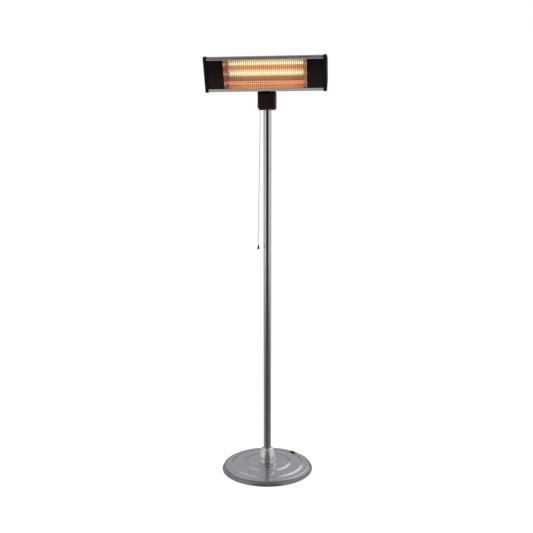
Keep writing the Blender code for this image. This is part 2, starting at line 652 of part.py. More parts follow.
# ---- Cord switch ------------------------------------------------------------------------------------
switch_low = (CORD_X - SWITCH_WIDTH / 2 + 0.0008, CORD_Y - SWITCH_DEPTH / 2, SWITCH_BOTTOM)
switch_high = (CORD_X + SWITCH_WIDTH / 2 + 0.0008, CORD_Y + SWITCH_DEPTH / 2 - 0.0040, SWITCH_TOP)
spring_floor = SWITCH_BOTTOM + 0.0060
plunger_top = SWITCH_TOP - 0.0020
switch = rounded(box("switch_body", switch_low, switch_high, "white_nylon"), 0.0005, segments=1)
cut(switch, rod("plunger_bore", PLUNGER_BORE, (CORD_X, CORD_Y, spring_floor),
                (CORD_X, CORD_Y, SWITCH_TOP + 0.0100), sides=24))
cut(switch, rod("stem_hole", PLUNGER_STEM + FIT, (CORD_X, CORD_Y, SWITCH_BOTTOM - 0.0100),
                (CORD_X, CORD_Y, spring_floor + 0.0010), sides=24))
rotor_x = CORD_X + 0.0025
rotor_z = (SWITCH_BOTTOM + SWITCH_TOP) / 2
cut(switch, rod("rotor_bearing", 0.0015 + FIT, (rotor_x, switch_low[1] - 0.0100, rotor_z),
                (rotor_x, switch_low[1] + 0.0040, rotor_z), sides=24))

turned("switch_plunger",
       [(CORD_RADIUS + FIT, plunger_top), (PLUNGER_BORE - FIT, plunger_top),
        (PLUNGER_BORE - FIT, plunger_top - 0.0030), (PLUNGER_STEM, plunger_top - 0.0030),
        (PLUNGER_STEM, SWITCH_BOTTOM - 0.0010), (CORD_RADIUS + FIT, SWITCH_BOTTOM - 0.0010)],
       "white_nylon", 24, place=(CORD_X, CORD_Y, 0))

spring_low = spring_floor + SPRING_WIRE + GAP
spring_high = plunger_top - 0.0030 - SPRING_WIRE - GAP
spring_radius = (PLUNGER_BORE + PLUNGER_STEM) / 2
coil = []
for i in range(SPRING_TURNS * 10 + 1):
    angle = 2 * pi * i / 10
    height = spring_low + (spring_high - spring_low) * i / (SPRING_TURNS * 10)
    coil.append(Vector((CORD_X, CORD_Y, 0.0)) + polar(spring_radius, angle, height))
wire("plunger_spring", coil, SPRING_WIRE, "zinc_steel", roundness=0)

ratchet = []
for i in range(ROTOR_TEETH):
    start = 2 * pi * i / ROTOR_TEETH
    ratchet.append((ROTOR_RADIUS * cos(start), ROTOR_RADIUS * sin(start)))
    ratchet.append((0.72 * ROTOR_RADIUS * cos(start + 0.10), 0.72 * ROTOR_RADIUS * sin(start + 0.10)))
rotor_end = switch_low[1] - GAP
rotor = plate("switch_rotor", ratchet, rotor_end - ROTOR_THICKNESS, rotor_end, "white_nylon",
              place=(rotor_x, 0, rotor_z), turn=(0, 0, pi / 2))
join(rotor, rod("rotor_pin", 0.0015, (rotor_end - ROTOR_THICKNESS / 2, 0, 0), (rotor_end + 0.0035, 0, 0),
                sides=24, place=(rotor_x, 0, rotor_z), turn=(0, 0, pi / 2)))

turned("cord_bush",
       [(PLUNGER_STEM + FIT, NECK_BOTTOM + NECK_WALL + 0.0010), (0.0040, NECK_BOTTOM + NECK_WALL + 0.0010),
        (0.0040, NECK_BOTTOM - GAP), (0.0056, NECK_BOTTOM - GAP), (0.0050, NECK_BOTTOM - 0.0022),
        (PLUNGER_STEM + FIT, NECK_BOTTOM - 0.0022)],
       "black_plastic", 24, place=(CORD_X, CORD_Y, 0))

# The cord hangs from inside the plunger, a little out of plumb: drift as a share of CORD_DRIFT, and height.
knob_top = CORD_EXIT - CORD_LENGTH
cord_places = [(0.000, plunger_top - 0.0010), (0.000, CORD_EXIT), (0.000, CORD_EXIT - 0.0300),
               (0.030, CORD_EXIT - 0.0800), (0.160, CORD_EXIT - 0.1600), (0.420, CORD_EXIT - 0.2700),
               (0.560, CORD_EXIT - 0.3600), (0.800, CORD_EXIT - 0.4500), (0.880, CORD_EXIT - 0.5400),
               (0.960, CORD_EXIT - 0.5900), (1.160, CORD_EXIT - 0.6130), (1.000, knob_top + 0.0100),
               (1.000, knob_top + GAP)]
cord_route = [Vector((CORD_X - drift * CORD_DRIFT, CORD_Y, height)) for drift, height in cord_places]
wire("pull_cord", smooth(cord_route, 0.0120), CORD_RADIUS, "cord_weave")
knob_bottom = knob_top - KNOB_HEIGHT
turned("pull_knob",
       [(0.0, knob_top), (KNOB_NECK_RADIUS, knob_top), (KNOB_NECK_RADIUS + 0.0012, knob_top - 0.0030),
        (KNOB_RADIUS - 0.0012, knob_bottom + 0.0060), (KNOB_RADIUS, knob_bottom + 0.0020),
        (KNOB_RADIUS - 0.0010, knob_bottom), (0.0, knob_bottom)],
       "black_plastic", 24, closed=False, place=(CORD_X - CORD_DRIFT, CORD_Y, 0))

# ---- Head: an empty on the hinge axis carries all of it ----------------------------------------------
head = bpy.data.objects.new("head_pivot", None)
head.location = (0.0, HINGE_Y, HINGE_Z)
head.rotation_euler = (HEAD_TILT, 0.0, 0.0)
parts.objects.link(head)


def face(up, back):
    """(Y, Z) from the hinge axis of a point so far up the face and back from the front plane."""
    return (back - FACE_BEFORE_AXIS, up + FACE_ABOVE_AXIS)


def case_outline(inset, front):
    """Top to bottom round the back of the case, set in by a wall."""
    lean = atan2(FACE_HALF - BACK_HALF, CASE_DEPTH - CASE_RIM_DEPTH)
    turn_in = inset * (1 - sin(lean)) / cos(lean)
    return [face(FACE_HALF - inset, front), face(FACE_HALF - inset, CASE_RIM_DEPTH),
            face(BACK_HALF - turn_in, CASE_DEPTH - inset), face(turn_in - BACK_HALF, CASE_DEPTH - inset),
            face(inset - FACE_HALF, CASE_RIM_DEPTH), face(inset - FACE_HALF, front)]


def case_inside(back):
    """Half the clear height inside the case at a depth behind the front plane."""
    lean = atan2(FACE_HALF - BACK_HALF, CASE_DEPTH - CASE_RIM_DEPTH)
    return FACE_HALF - CASE_WALL / cos(lean) - max(0.0, back - CASE_RIM_DEPTH) * tan(lean)


wall = CASE_WALL
section = case_outline(0.0, 0.0)
section += [face(-OPENING_HALF, 0.0), face(-OPENING_HALF, wall)]
section += case_outline(wall, wall)[::-1]
section += [face(OPENING_HALF, wall), face(OPENING_HALF, 0.0)]
case = plate("head_case", section, -CASE_HALF, CASE_HALF, "anodised", parent=head)

# Tongue under the case: it drops between the yoke's ears and its pad lies along the case's sloping wall.
slope_start = Vector(face(-FACE_HALF, CASE_RIM_DEPTH))
slope_end = Vector(face(-BACK_HALF, CASE_DEPTH))
slope = (slope_end - slope_start).normalized()
below = Vector((slope.y, -slope.x))
pad_start = slope_start + slope * 0.0100 + below * GAP
pad_end = slope_start + slope * 0.0480 + below * GAP
pad_thickness = 0.0025
tongue = plate("head_tongue",
               [tuple(pad_start), tuple(pad_end), tuple(pad_end + below * pad_thickness),
                tuple(pad_start + below * pad_thickness)],
               -0.0220, 0.0220, "zinc_steel", parent=head)
tongue_side = arc((0.0, 0.0), EYE_RADIUS, 180, 380, 10)
tongue_side += [tuple(pad_start + slope * 0.0280 + below * pad_thickness / 2),
                tuple(pad_start + slope * 0.0040 + below * pad_thickness / 2)]
join(tongue, plate("tongue_body", tongue_side, -TONGUE_HALF_WIDTH, TONGUE_HALF_WIDTH, parent=head))
cut(tongue, rod("tongue_bore", HINGE_BOLT_RADIUS + FIT, (-0.0300, 0, 0), (0.0300, 0, 0), parent=head))

for side, number in ((-1, 1), (1, 2)):
    inner = side * WASHER_INSIDE
    turned(f"friction_washer_{number}",
           [(HINGE_BOLT_RADIUS + FIT, WASHER_THICKNESS), (EYE_RADIUS - 0.0010, WASHER_THICKNESS),
            (EYE_RADIUS - 0.0010, 0.0), (HINGE_BOLT_RADIUS + FIT, 0.0)],
           "white_nylon", 24, place=(inner, HINGE_Y, HINGE_Z), turn=(0, side * pi / 2, 0))

bolt_seat = EAR_OUTSIDE + GAP
turned("hinge_bolt",
       [(0.0, bolt_seat + 0.0052), (0.0065, bolt_seat + 0.0052), (0.0065, bolt_seat),
        (HINGE_BOLT_RADIUS, bolt_seat), (HINGE_BOLT_RADIUS, -bolt_seat - HINGE_BOLT_END),
        (0.0, -bolt_seat - HINGE_BOLT_END)],
       "zinc_steel", 24, closed=False, place=(0, HINGE_Y, HINGE_Z), turn=(0, pi / 2, 0))
turned("hinge_nut",
       [(HINGE_BOLT_RADIUS + FIT, HINGE_NUT_LENGTH), (0.0074, HINGE_NUT_LENGTH), (0.0074, 0.0),
        (HINGE_BOLT_RADIUS + FIT, 0.0)],
       "zinc_steel", 24, place=(-bolt_seat, HINGE_Y, HINGE_Z), turn=(0, -pi / 2, 0))


# ---- End caps and front panels -----------------------------------------------------------------------
def end_cap(name, side):
    """A moulded cap over the case's end, a little proud of it all round."""
    grow = END_CAP_PROUD
    profile = case_outline(-grow, -grow)
    start = side * (CASE_HALF + GAP)
    end = side * HEAD_WIDTH / 2
    cap = plate(name, profile, min(start, end), max(start, end), "black_plastic", parent=head)
    return rounded(cap, 0.0018, segments=2)


def front_panel(name, side):
    """A black panel between the lips, with a wider flange behind them."""
    inner = WINDOW_HALF
    outer = CASE_HALF
    low = min(side * inner, side * outer)
    high = max(side * inner, side * outer)
    show = OPENING_HALF - GAP
    hold = OPENING_HALF + WINDOW_RIM
    front = 0.0006
    back = CASE_WALL + GAP
    panel = plate(name, [face(show, front), face(show, back + 0.0010), face(-show, back + 0.0010),
                         face(-show, front)], low, high, "black_plastic", parent=head)
    flange_back = back + PANEL_THICKNESS
    return join(panel, plate(name + "_flange",
                             [face(hold, back), face(hold, flange_back), face(-hold, flange_back),
                              face(-hold, back)], low, high, parent=head))


for name, side in (("left", -1), ("right", 1)):
    end_cap(f"end_cap_{name}", side)
    front_panel(f"front_panel_{name}", side)


# ---- Reflector, tubes and guard ----------------------------------------------------------------------
def trough_line():
    """Across the reflector, top to bottom: flange, then troughs side by side."""
    flange = TROUGH_FRONT - 0.0010
    edge = FACE_HALF - CASE_WALL - 0.0020
    line = [(edge, flange), (OPENING_HALF + 0.0010, flange)]
    samples = 8
    for number in range(TROUGH_COUNT):
        middle = OPENING_HALF - (number + 0.5) * TROUGH_PITCH
        for i in range(samples + 1):
            across = 1 - 2 * i / samples
            depth = TROUGH_FRONT + (TROUGH_BACK - TROUGH_FRONT) * (1 - across ** 2)
            if i < samples or number == TROUGH_COUNT - 1:
                line.append((middle + across * TROUGH_PITCH / 2, depth))
    line += [(-OPENING_HALF - 0.0010, flange), (-edge, flange)]
    return line


def strip(name, line, thickness, start, end, material, parent):
    """A thin sheet that follows a line across the head, drawn out along X."""
    points = [(x, *face(up, back)) for x in (start, end) for up, back in line]
    count = len(line)
    faces = [(i, i + 1, count + i + 1, count + i) for i in range(count - 1)]
    mesh = bpy.data.meshes.new(name)
    mesh.from_pydata(points, [], faces)
    obj = keep(mesh, name, material, parent=parent)
    wall = obj.modifiers.new("Sheet", "SOLIDIFY")
    wall.thickness = thickness
    wall.offset = 0.0
    return obj


WALL_FRONT = GUARD_DEPTH + GUARD_WIRE + 0.0012
WALL_BACK = TROUGH_BACK + 0.0030


def wall_x(back):
    """Where the sloping end wall stands at a depth behind the front plane."""
    return WINDOW_HALF - END_WALL_SLOPE * (back - WALL_FRONT) / (WALL_BACK - WALL_FRONT)


reflector_half = wall_x(TROUGH_BACK) - END_WALL_SHEET - 0.0004
strip("reflector", trough_line(), REFLECTOR_SHEET, -reflector_half, reflector_half, "polished_sheet", head)

tube_rows = [OPENING_HALF - (number + 0.5) * TROUGH_PITCH for number in range(TROUGH_COUNT)]
for name, side in (("left", -1), ("right", 1)):
    front_x = side * wall_x(WALL_FRONT)
    back_x = side * wall_x(WALL_BACK)
    corners = []
    for x, back in ((front_x, WALL_FRONT), (back_x, WALL_BACK)):
        reach_up = min(OPENING_HALF + WINDOW_RIM * 0.6, case_inside(back) - 0.0012)
        for up in (reach_up, -reach_up):
            corners.append((x, *face(up, back)))
    mesh = bpy.data.meshes.new(f"end_wall_{name}")
    mesh.from_pydata(corners, [], [(0, 1, 3, 2)])
    end_wall = keep(mesh, f"end_wall_{name}", "polished_sheet", parent=head)
    sheet = end_wall.modifiers.new("Sheet", "SOLIDIFY")
    sheet.thickness = END_WALL_SHEET
    sheet.offset = 0.0
    for number, up in enumerate(tube_rows, 1):
        y, z = face(up, TUBE_DEPTH)
        cut(end_wall, rod(f"wall_hole_{name}_{number}", CERAMIC_RADIUS + GAP,
                          (side * (WINDOW_HALF - 0.0600), y, z), (side * (WINDOW_HALF + 0.0600), y, z),
                          sides=24, parent=head))

ceramic_inner = TUBE_HALF_LENGTH - CERAMIC_GRIP
for number, up in enumerate(tube_rows, 1):
    y, z = face(up, TUBE_DEPTH)
    bore = TUBE_RADIUS - TUBE_WALL
    turned(f"quartz_tube_{number}",
           [(bore, TUBE_HALF_LENGTH), (TUBE_RADIUS, TUBE_HALF_LENGTH), (TUBE_RADIUS, -TUBE_HALF_LENGTH),
            (bore, -TUBE_HALF_LENGTH)],
           "quartz", 20, place=(0, y, z), turn=(0, pi / 2, 0), parent=head)
    rod(f"filament_{number}", FILAMENT_RADIUS, (-TUBE_HALF_LENGTH + GAP, y, z),
        (TUBE_HALF_LENGTH - GAP, y, z), "hot_wire", sides=12, parent=head)
    for name, side in (("left", -1), ("right", 1)):
        grip = TUBE_RADIUS + GAP
        bottom = CERAMIC_GRIP + GAP
        turned(f"ceramic_{number}_{name}",
               [(0.0, CERAMIC_LENGTH), (CERAMIC_RADIUS, CERAMIC_LENGTH), (CERAMIC_RADIUS, 0.0), (grip, 0.0),
                (grip, bottom), (0.0, bottom)],
               "ceramic", 20, closed=False, place=(side * ceramic_inner, y, z),
               turn=(0, side * pi / 2, 0), parent=head)

rail_depth = GUARD_DEPTH + GUARD_WIRE * 0.7
guard_half = WINDOW_HALF - 0.0010
guard_count = int(2 * guard_half / GUARD_PITCH)
guard_first = -guard_count * GUARD_PITCH / 2
wire_reach = GUARD_RAILS[-1] + 0.0020
low = (guard_first - GUARD_WIRE / 2, *face(-wire_reach, GUARD_DEPTH - GUARD_WIRE / 2))
high = (guard_first + GUARD_WIRE / 2, *face(wire_reach, GUARD_DEPTH + GUARD_WIRE / 2))
bars = box("guard_bars", low, high, parent=head)
repeat = bars.modifiers.new("Repeat", "ARRAY")
repeat.count = guard_count + 1
repeat.use_relative_offset = False
repeat.use_constant_offset = True
repeat.constant_offset_displace = (GUARD_PITCH, 0, 0)
rails = []
for number, up in enumerate(GUARD_RAILS):
    low = (-guard_half, *face(up - GUARD_WIRE / 2, rail_depth - GUARD_WIRE / 2))
    high = (guard_half, *face(up + GUARD_WIRE / 2, rail_depth + GUARD_WIRE / 2))
    rails.append((low, high))
guard = box("wire_guard", *rails[0], "zinc_steel", parent=head)
join(guard, bars)
for number, (low, high) in enumerate(rails[1:], 2):
    join(guard, box(f"guard_rail_{number}", low, high, parent=head))
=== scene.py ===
from math import atan2, cos, hypot, pi, radians, sin

import bmesh
import bpy
from mathutils import Matrix, Vector


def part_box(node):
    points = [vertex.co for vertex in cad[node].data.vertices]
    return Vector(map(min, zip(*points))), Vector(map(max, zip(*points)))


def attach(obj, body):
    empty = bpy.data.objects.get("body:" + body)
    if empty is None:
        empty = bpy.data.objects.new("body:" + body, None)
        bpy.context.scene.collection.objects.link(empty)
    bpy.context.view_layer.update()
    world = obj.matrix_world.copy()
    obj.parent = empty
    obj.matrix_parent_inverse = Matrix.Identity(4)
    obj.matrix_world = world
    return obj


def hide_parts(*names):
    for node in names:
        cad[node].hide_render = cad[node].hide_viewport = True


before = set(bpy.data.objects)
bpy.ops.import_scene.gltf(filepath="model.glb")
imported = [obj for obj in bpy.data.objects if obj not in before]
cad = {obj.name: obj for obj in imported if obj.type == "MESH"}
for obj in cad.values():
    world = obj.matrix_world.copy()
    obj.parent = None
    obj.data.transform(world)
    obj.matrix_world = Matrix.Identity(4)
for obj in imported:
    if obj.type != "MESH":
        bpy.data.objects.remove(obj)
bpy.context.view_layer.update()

# ---- Pressed cover of the foot ------------------------------------------------------------------------
# Spun from 1.2 mm steel sheet: two soft steps round a flat crown, and an edge rolled over a wire.
# It is satin chromed, shows fine rings from the spinning tool, and the flange bolts clamp it down.
TURNED_SIDES = 160
COVER_SHEET = 0.0012
EDGE_BAND = (0.2060, 0.2105)            # radii where the satin top turns into the rim band of dust and painted shade
COVER_LINE = [
    (0.0150, 0.0365), (0.0500, 0.0365), (0.0560, 0.0364), (0.0800, 0.0358), (0.1000, 0.0350),
    (0.1050, 0.0347), (0.1090, 0.0338), (0.1130, 0.0320), (0.1170, 0.0305), (0.1210, 0.0298),
    (0.1260, 0.0295), (0.1450, 0.0289), (0.1630, 0.0283), (0.1680, 0.0279), (0.1720, 0.0268),
    (0.1765, 0.0250), (0.1805, 0.0238), (0.1850, 0.0233), (0.1950, 0.0230), (0.2020, 0.0226),
    (0.2060, 0.0219), (0.2105, 0.0202), (0.2150, 0.0176), (0.2185, 0.0144), (0.2208, 0.0105),
    (0.2218, 0.0070), (0.2225, 0.0045), (0.2236, 0.0033), (0.2249, 0.0026), (0.2250, 0.0016),
    (0.2242, 0.0008),
]


def soft_line(points, rounds=2):
    """Corners cut again and again, which leaves one soft line between the same two ends."""
    for _ in range(rounds):
        cut = [points[0]]
        for (ax, az), (bx, bz) in zip(points, points[1:]):
            cut.append((0.75 * ax + 0.25 * bx, 0.75 * az + 0.25 * bz))
            cut.append((0.25 * ax + 0.75 * bx, 0.25 * az + 0.75 * bz))
        points = cut + [points[-1]]
    return points


def sheet_section(line, thickness):
    """A line and the same line one sheet thickness behind it, as one closed section."""
    behind = []
    for i, (r, z) in enumerate(line):
        before, after = line[max(i - 1, 0)], line[min(i + 1, len(line) - 1)]
        run = hypot(after[0] - before[0], after[1] - before[1]) or 1.0
        behind.append((r + (after[1] - before[1]) / run * thickness,
                       z + (before[0] - after[0]) / run * thickness))
    return line + behind[::-1]


def lathe(section, sides=TURNED_SIDES, closed=True):
    """A section of (radius, height) turned about Z. An open section starts and ends on the axis."""
    shape = bmesh.new()
    ring = [shape.verts.new((r, 0.0, z)) for r, z in section]
    edges = [shape.edges.new(pair) for pair in zip(ring, ring[1:])]
    if closed:
        edges.append(shape.edges.new((ring[-1], ring[0])))
    bmesh.ops.spin(shape, geom=ring + edges, cent=(0, 0, 0), axis=(0, 0, 1), angle=2 * pi,
                   steps=sides, use_merge=True, use_duplicate=False)
    bmesh.ops.remove_doubles(shape, verts=shape.verts, dist=0.000004)
    bmesh.ops.recalc_face_normals(shape, faces=shape.faces)
    mesh = bpy.data.meshes.new("turned")
    shape.to_mesh(mesh)
    shape.free()
    return mesh


def fitted(name, mesh, material, body, nodes=(), crease=35):
    """A finished mesh becomes a piece: smooth with creases, on its body, in place of CAD nodes."""
    piece = bpy.data.objects.new(name, mesh)
    bpy.context.scene.collection.objects.link(piece)
    if material:
        mesh.materials.clear()
        mesh.materials.append(material)
    mesh.shade_smooth()
    mesh.set_sharp_from_angle(angle=radians(crease))
    if nodes:
        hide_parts(*nodes)
    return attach(piece, body)


def surface(name, colour, roughness, metallic=0.0):
    """A new material, its node tree and its Principled shader."""
    made = bpy.data.materials.new(name)
    made.use_nodes = True
    shader = made.node_tree.nodes["Principled BSDF"]
    shader.inputs["Base Color"].default_value = (*colour, 1.0)
    shader.inputs["Roughness"].default_value = roughness
    shader.inputs["Metallic"].default_value = metallic
    return made, made.node_tree, shader


def add(tree, kind, inputs=None, **settings):
    """A node in a tree, with its settings and the values of its unlinked inputs."""
    made = tree.nodes.new(kind)
    for key, value in settings.items():
        setattr(made, key, value)
    for key, value in (inputs or {}).items():
        if isinstance(value, bpy.types.NodeSocket):
            tree.links.new(value, made.inputs[key])
        else:
            made.inputs[key].default_value = value
    return made


def new_group(name, inputs, outputs):
    """An empty shader group with named number inputs and outputs."""
    group = bpy.data.node_groups.new(name, "ShaderNodeTree")
    for label, kind, value in inputs:
        group.interface.new_socket(label, in_out="INPUT", socket_type=kind).default_value = value
    for label, kind in outputs:
        group.interface.new_socket(label, in_out="OUTPUT", socket_type=kind)
    return group, group.nodes.new("NodeGroupInput"), group.nodes.new("NodeGroupOutput")


def placed(tree, group, **values):
    """That shader group in a material, with the material's own values."""
    made = add(tree, "ShaderNodeGroup", node_tree=group)
    for label, value in values.items():
        made.inputs[label.replace("_", " ")].default_value = value
    return made


def blended(tree, share, first, second):
    """Two colours mixed by a share, which is a number or an output."""
    mix = add(tree, "ShaderNodeMix", data_type="RGBA")
    for socket, value in ((mix.inputs[0], share), (mix.inputs[6], first), (mix.inputs[7], second)):
        if isinstance(value, bpy.types.NodeSocket):
            tree.links.new(value, socket)
        else:
            socket.default_value = value if isinstance(value, (int, float)) else (*value, 1.0)
    return mix.outputs[2]


def spread(tree, value, low, high, start=0.0, end=1.0, soft=False):
    """A number mapped from start and end to low and high, straight or with soft ends."""
    return add(tree, "ShaderNodeMapRange",
               {"Value": value, "From Min": start, "From Max": end, "To Min": low, "To Max": high},
               interpolation_type="SMOOTHSTEP" if soft else "LINEAR").outputs[0]


def maths(tree, operation, *values):
    """One sum on numbers or outputs."""
    return add(tree, "ShaderNodeMath", dict(enumerate(values)), operation=operation).outputs[0]


def vector_maths(tree, operation, *values, out=0):
    """One sum on vectors or outputs."""
    return add(tree, "ShaderNodeVectorMath", dict(enumerate(values)), operation=operation).outputs[out]


def toned(tree, shader, share, first, second, socket="Base Color"):
    """The shader's colour, mixed from two by a share."""
    tree.links.new(blended(tree, share, first, second), shader.inputs[socket])


def roughened(tree, shader, share, low, high):
    """The shader's roughness, between two values by a share."""
    tree.links.new(spread(tree, share, low, high), shader.inputs["Roughness"])


def bumped(tree, shader, height, depth, distance=0.001):
    """The shader's normal, moved by a height."""
    bump = add(tree, "ShaderNodeBump", {"Height": height, "Strength": depth, "Distance": distance})
    tree.links.new(bump.outputs[0], shader.inputs["Normal"])
    return bump


# Rings left by the spinning tool: bands of tone that depend on the radius alone, softly broken up.
spun_rings, source, target = new_group(
    "spun rings", [("Rings per metre", "NodeSocketFloat", 900.0), ("Seed", "NodeSocketFloat", 0.0)],
    [("Tone", "NodeSocketFloat"), ("Edge", "NodeSocketFloat")])
place = add(spun_rings, "ShaderNodeTexCoord").outputs["Object"]
radius = vector_maths(spun_rings, "LENGTH", vector_maths(spun_rings, "MULTIPLY", place, (1.0, 1.0, 0.0)),
                      out="Value")
seeded = maths(spun_rings, "ADD", radius, source.outputs["Seed"])
fine = add(spun_rings, "ShaderNodeTexNoise",
           {"W": seeded, "Scale": source.outputs["Rings per metre"], "Detail": 2.0}, noise_dimensions="1D")
spun_rings.links.new(fine.outputs["Fac"], target.inputs["Tone"])
spun_rings.links.new(spread(spun_rings, radius, 0.0, 1.0, *EDGE_BAND), target.inputs["Edge"])

# Handling marks and settled dust: cloudy smudges all over, and dust where a surface faces up.
handling, source, target = new_group(
    "handling marks", [("Scale", "NodeSocketFloat", 12.0), ("Dust scale", "NodeSocketFloat", 60.0)],
    [("Smudge", "NodeSocketFloat"), ("Dust", "NodeSocketFloat"), ("Speck", "NodeSocketFloat")])
place = add(handling, "ShaderNodeTexCoord").outputs["Object"]
cloud = add(handling, "ShaderNodeTexNoise",
            {"Vector": place, "Scale": source.outputs["Scale"], "Detail": 4.0, "Roughness": 0.6})
speckle = add(handling, "ShaderNodeTexNoise",
              {"Vector": place, "Scale": source.outputs["Dust scale"], "Detail": 6.0, "Roughness": 0.7})
normal = add(handling, "ShaderNodeNewGeometry").outputs["Normal"]
normal = add(handling, "ShaderNodeSeparateXYZ", {0: normal})
upward = spread(handling, normal.outputs["Z"], 0.0, 1.0, 0.5, 1.0)
for label, value in (("Smudge", spread(handling, cloud.outputs["Fac"], 0.0, 1.0, 0.38, 0.68)),
                     ("Dust", maths(handling, "MULTIPLY", upward, speckle.outputs["Fac"])),
                     ("Speck", spread(handling, speckle.outputs["Fac"], 0.0, 1.0, 0.62, 0.72))):
    handling.links.new(value, target.inputs[label])

satin_chrome, tree, shader = surface("satin_chrome", (0.50, 0.49, 0.53), 0.15, 0.94)
rings = placed(tree, spun_rings, Rings_per_metre=900.0)
marks = placed(tree, handling, Scale=9.0, Dust_scale=140.0)
ringed = blended(tree, rings.outputs["Tone"], (0.47, 0.45, 0.51), (0.62, 0.60, 0.66))
dusty = blended(tree, spread(tree, marks.outputs["Dust"], 0.0, 0.35), ringed, (0.46, 0.44, 0.43))
# The rim band is darker, browner and less metallic than the top: partly a dustier, duller finish and partly
# painted shade on the rim wall.
rim_dust_and_shade = blended(tree, rings.outputs["Tone"], (0.180, 0.173, 0.163), (0.260, 0.248, 0.238))
toned(tree, shader, rings.outputs["Edge"], dusty, rim_dust_and_shade)
tree.links.new(spread(tree, rings.outputs["Edge"], 0.94, 0.72), shader.inputs["Metallic"])
roughened(tree, shader, marks.outputs["Smudge"], 0.11, 0.18)
bumped(tree, shader, rings.outputs["Tone"], 0.03, 0.0003)

cover_section = sheet_section(soft_line(COVER_LINE), COVER_SHEET)
fitted("foot_cover", lathe(cover_section), satin_chrome, "stand", ["base_cover"])

# ---- Bottom plate and ballast -------------------------------------------------------------------------
# A zinc-plated steel disc closes the foot from below and carries a cast iron ring that keeps the
# heater upright. The three flange bolts go through both. The plate has stiffening ribs pressed in.
PLATE_LINE = [
    (0.0200, 0.00510), (0.1880, 0.00510), (0.2185, 0.00510), (0.2185, 0.00392), (0.2120, 0.00390),
    (0.2095, 0.00290), (0.2065, 0.00290), (0.2040, 0.00390), (0.1640, 0.00390), (0.1615, 0.00300),
    (0.1575, 0.00300), (0.1550, 0.00390), (0.0600, 0.00390), (0.0580, 0.00320), (0.0540, 0.00320),
    (0.0520, 0.00390), (0.0200, 0.00390),
]

zinc_plate, tree, shader = surface("zinc_plate", (0.55, 0.56, 0.58), 0.36, 1.0)
marks = placed(tree, handling, Scale=40.0, Dust_scale=240.0)
spangle = blended(tree, marks.outputs["Smudge"], (0.46, 0.48, 0.52), (0.66, 0.66, 0.66))
tree.links.new(spangle, shader.inputs["Base Color"])
roughened(tree, shader, marks.outputs["Smudge"], 0.28, 0.46)
bumped(tree, shader, marks.outputs["Dust"], 0.05, 0.0002)

fitted("bottom_plate", lathe(PLATE_LINE), zinc_plate, "stand", ["base_plate"])

cast_iron, tree, shader = surface("cast_iron", (0.10, 0.10, 0.11), 0.75, 0.6)
marks = placed(tree, handling, Scale=70.0, Dust_scale=420.0)
toned(tree, shader, marks.outputs["Smudge"], (0.07, 0.07, 0.08), (0.14, 0.12, 0.11))
bumped(tree, shader, marks.outputs["Smudge"], 0.5, 0.0008)


def dressed(material, *nodes):
    """CAD nodes that stay as they are and get a finish."""
    for node in nodes:
        cad[node].data.materials.clear()
        cad[node].data.materials.append(material)


dressed(cast_iron, "ballast")

# ---- Feet ---------------------------------------------------------------------------------------------
# Three round rubber pads under the bottom plate keep the foot off the floor. Each is moulded with a
# recess for its screw and a soft edge.
FOOT_CIRCLE = 0.1850
FOOT_COUNT = 3
FOOT_LINE = [
    (0.0, 0.0036), (0.0126, 0.0036), (0.0130, 0.0032), (0.0130, 0.0010), (0.0127, 0.0003),
    (0.0120, 0.0), (0.0060, 0.0), (0.0054, 0.0004), (0.0052, 0.0016), (0.0, 0.0016),
]

black_rubber, tree, shader = surface("black_rubber", (0.018, 0.017, 0.017), 0.72)
marks = placed(tree, handling, Scale=90.0, Dust_scale=500.0)
toned(tree, shader, marks.outputs["Smudge"], (0.012, 0.012, 0.012), (0.034, 0.032, 0.030))
roughened(tree, shader, marks.outputs["Smudge"], 0.62, 0.85)
bumped(tree, shader, marks.outputs["Speck"], 0.25, 0.0003)


def new_tree(name, inputs):
    """An empty Geometry Nodes tree with named inputs and one geometry output."""
    made = bpy.data.node_groups.new(name, "GeometryNodeTree")
    made.interface.new_socket("Geometry", in_out="INPUT", socket_type="NodeSocketGeometry")
    for label, kind in inputs:
        made.interface.new_socket(label, in_out="INPUT", socket_type=kind)
    made.interface.new_socket("Geometry", in_out="OUTPUT", socket_type="NodeSocketGeometry")
    return made, made.nodes.new("NodeGroupInput"), made.nodes.new("NodeGroupOutput")


def close_tree(tree, source, target, made):
    """Real geometry in the finish's material, which is how each tree ends."""
    real = add(tree, "GeometryNodeRealizeInstances", {"Geometry": made})
    coated = add(tree, "GeometryNodeSetMaterial",
                 {"Geometry": real.outputs[0], "Material": source.outputs["Finish"]})
    tree.links.new(coated.outputs[0], target.inputs[0])


def grown(tree, start, **values):
    """The plain mesh that a tree makes from a starting mesh and its named inputs."""
    holder = bpy.data.objects.new("holder", start)
    bpy.context.scene.collection.objects.link(holder)
    step = holder.modifiers.new("Copies", "NODES")
    step.node_group = tree
    sockets = {item.name: item.identifier for item in tree.interface.items_tree
               if item.item_type == "SOCKET" and item.in_out == "INPUT"}
    for label, value in values.items():
        step[sockets[label.replace("_", " ")]] = value
    graph = bpy.context.evaluated_depsgraph_get()
    mesh = bpy.data.meshes.new_from_object(holder.evaluated_get(graph))
    holder.modifiers.remove(step)
    bpy.data.objects.remove(holder)
    return mesh


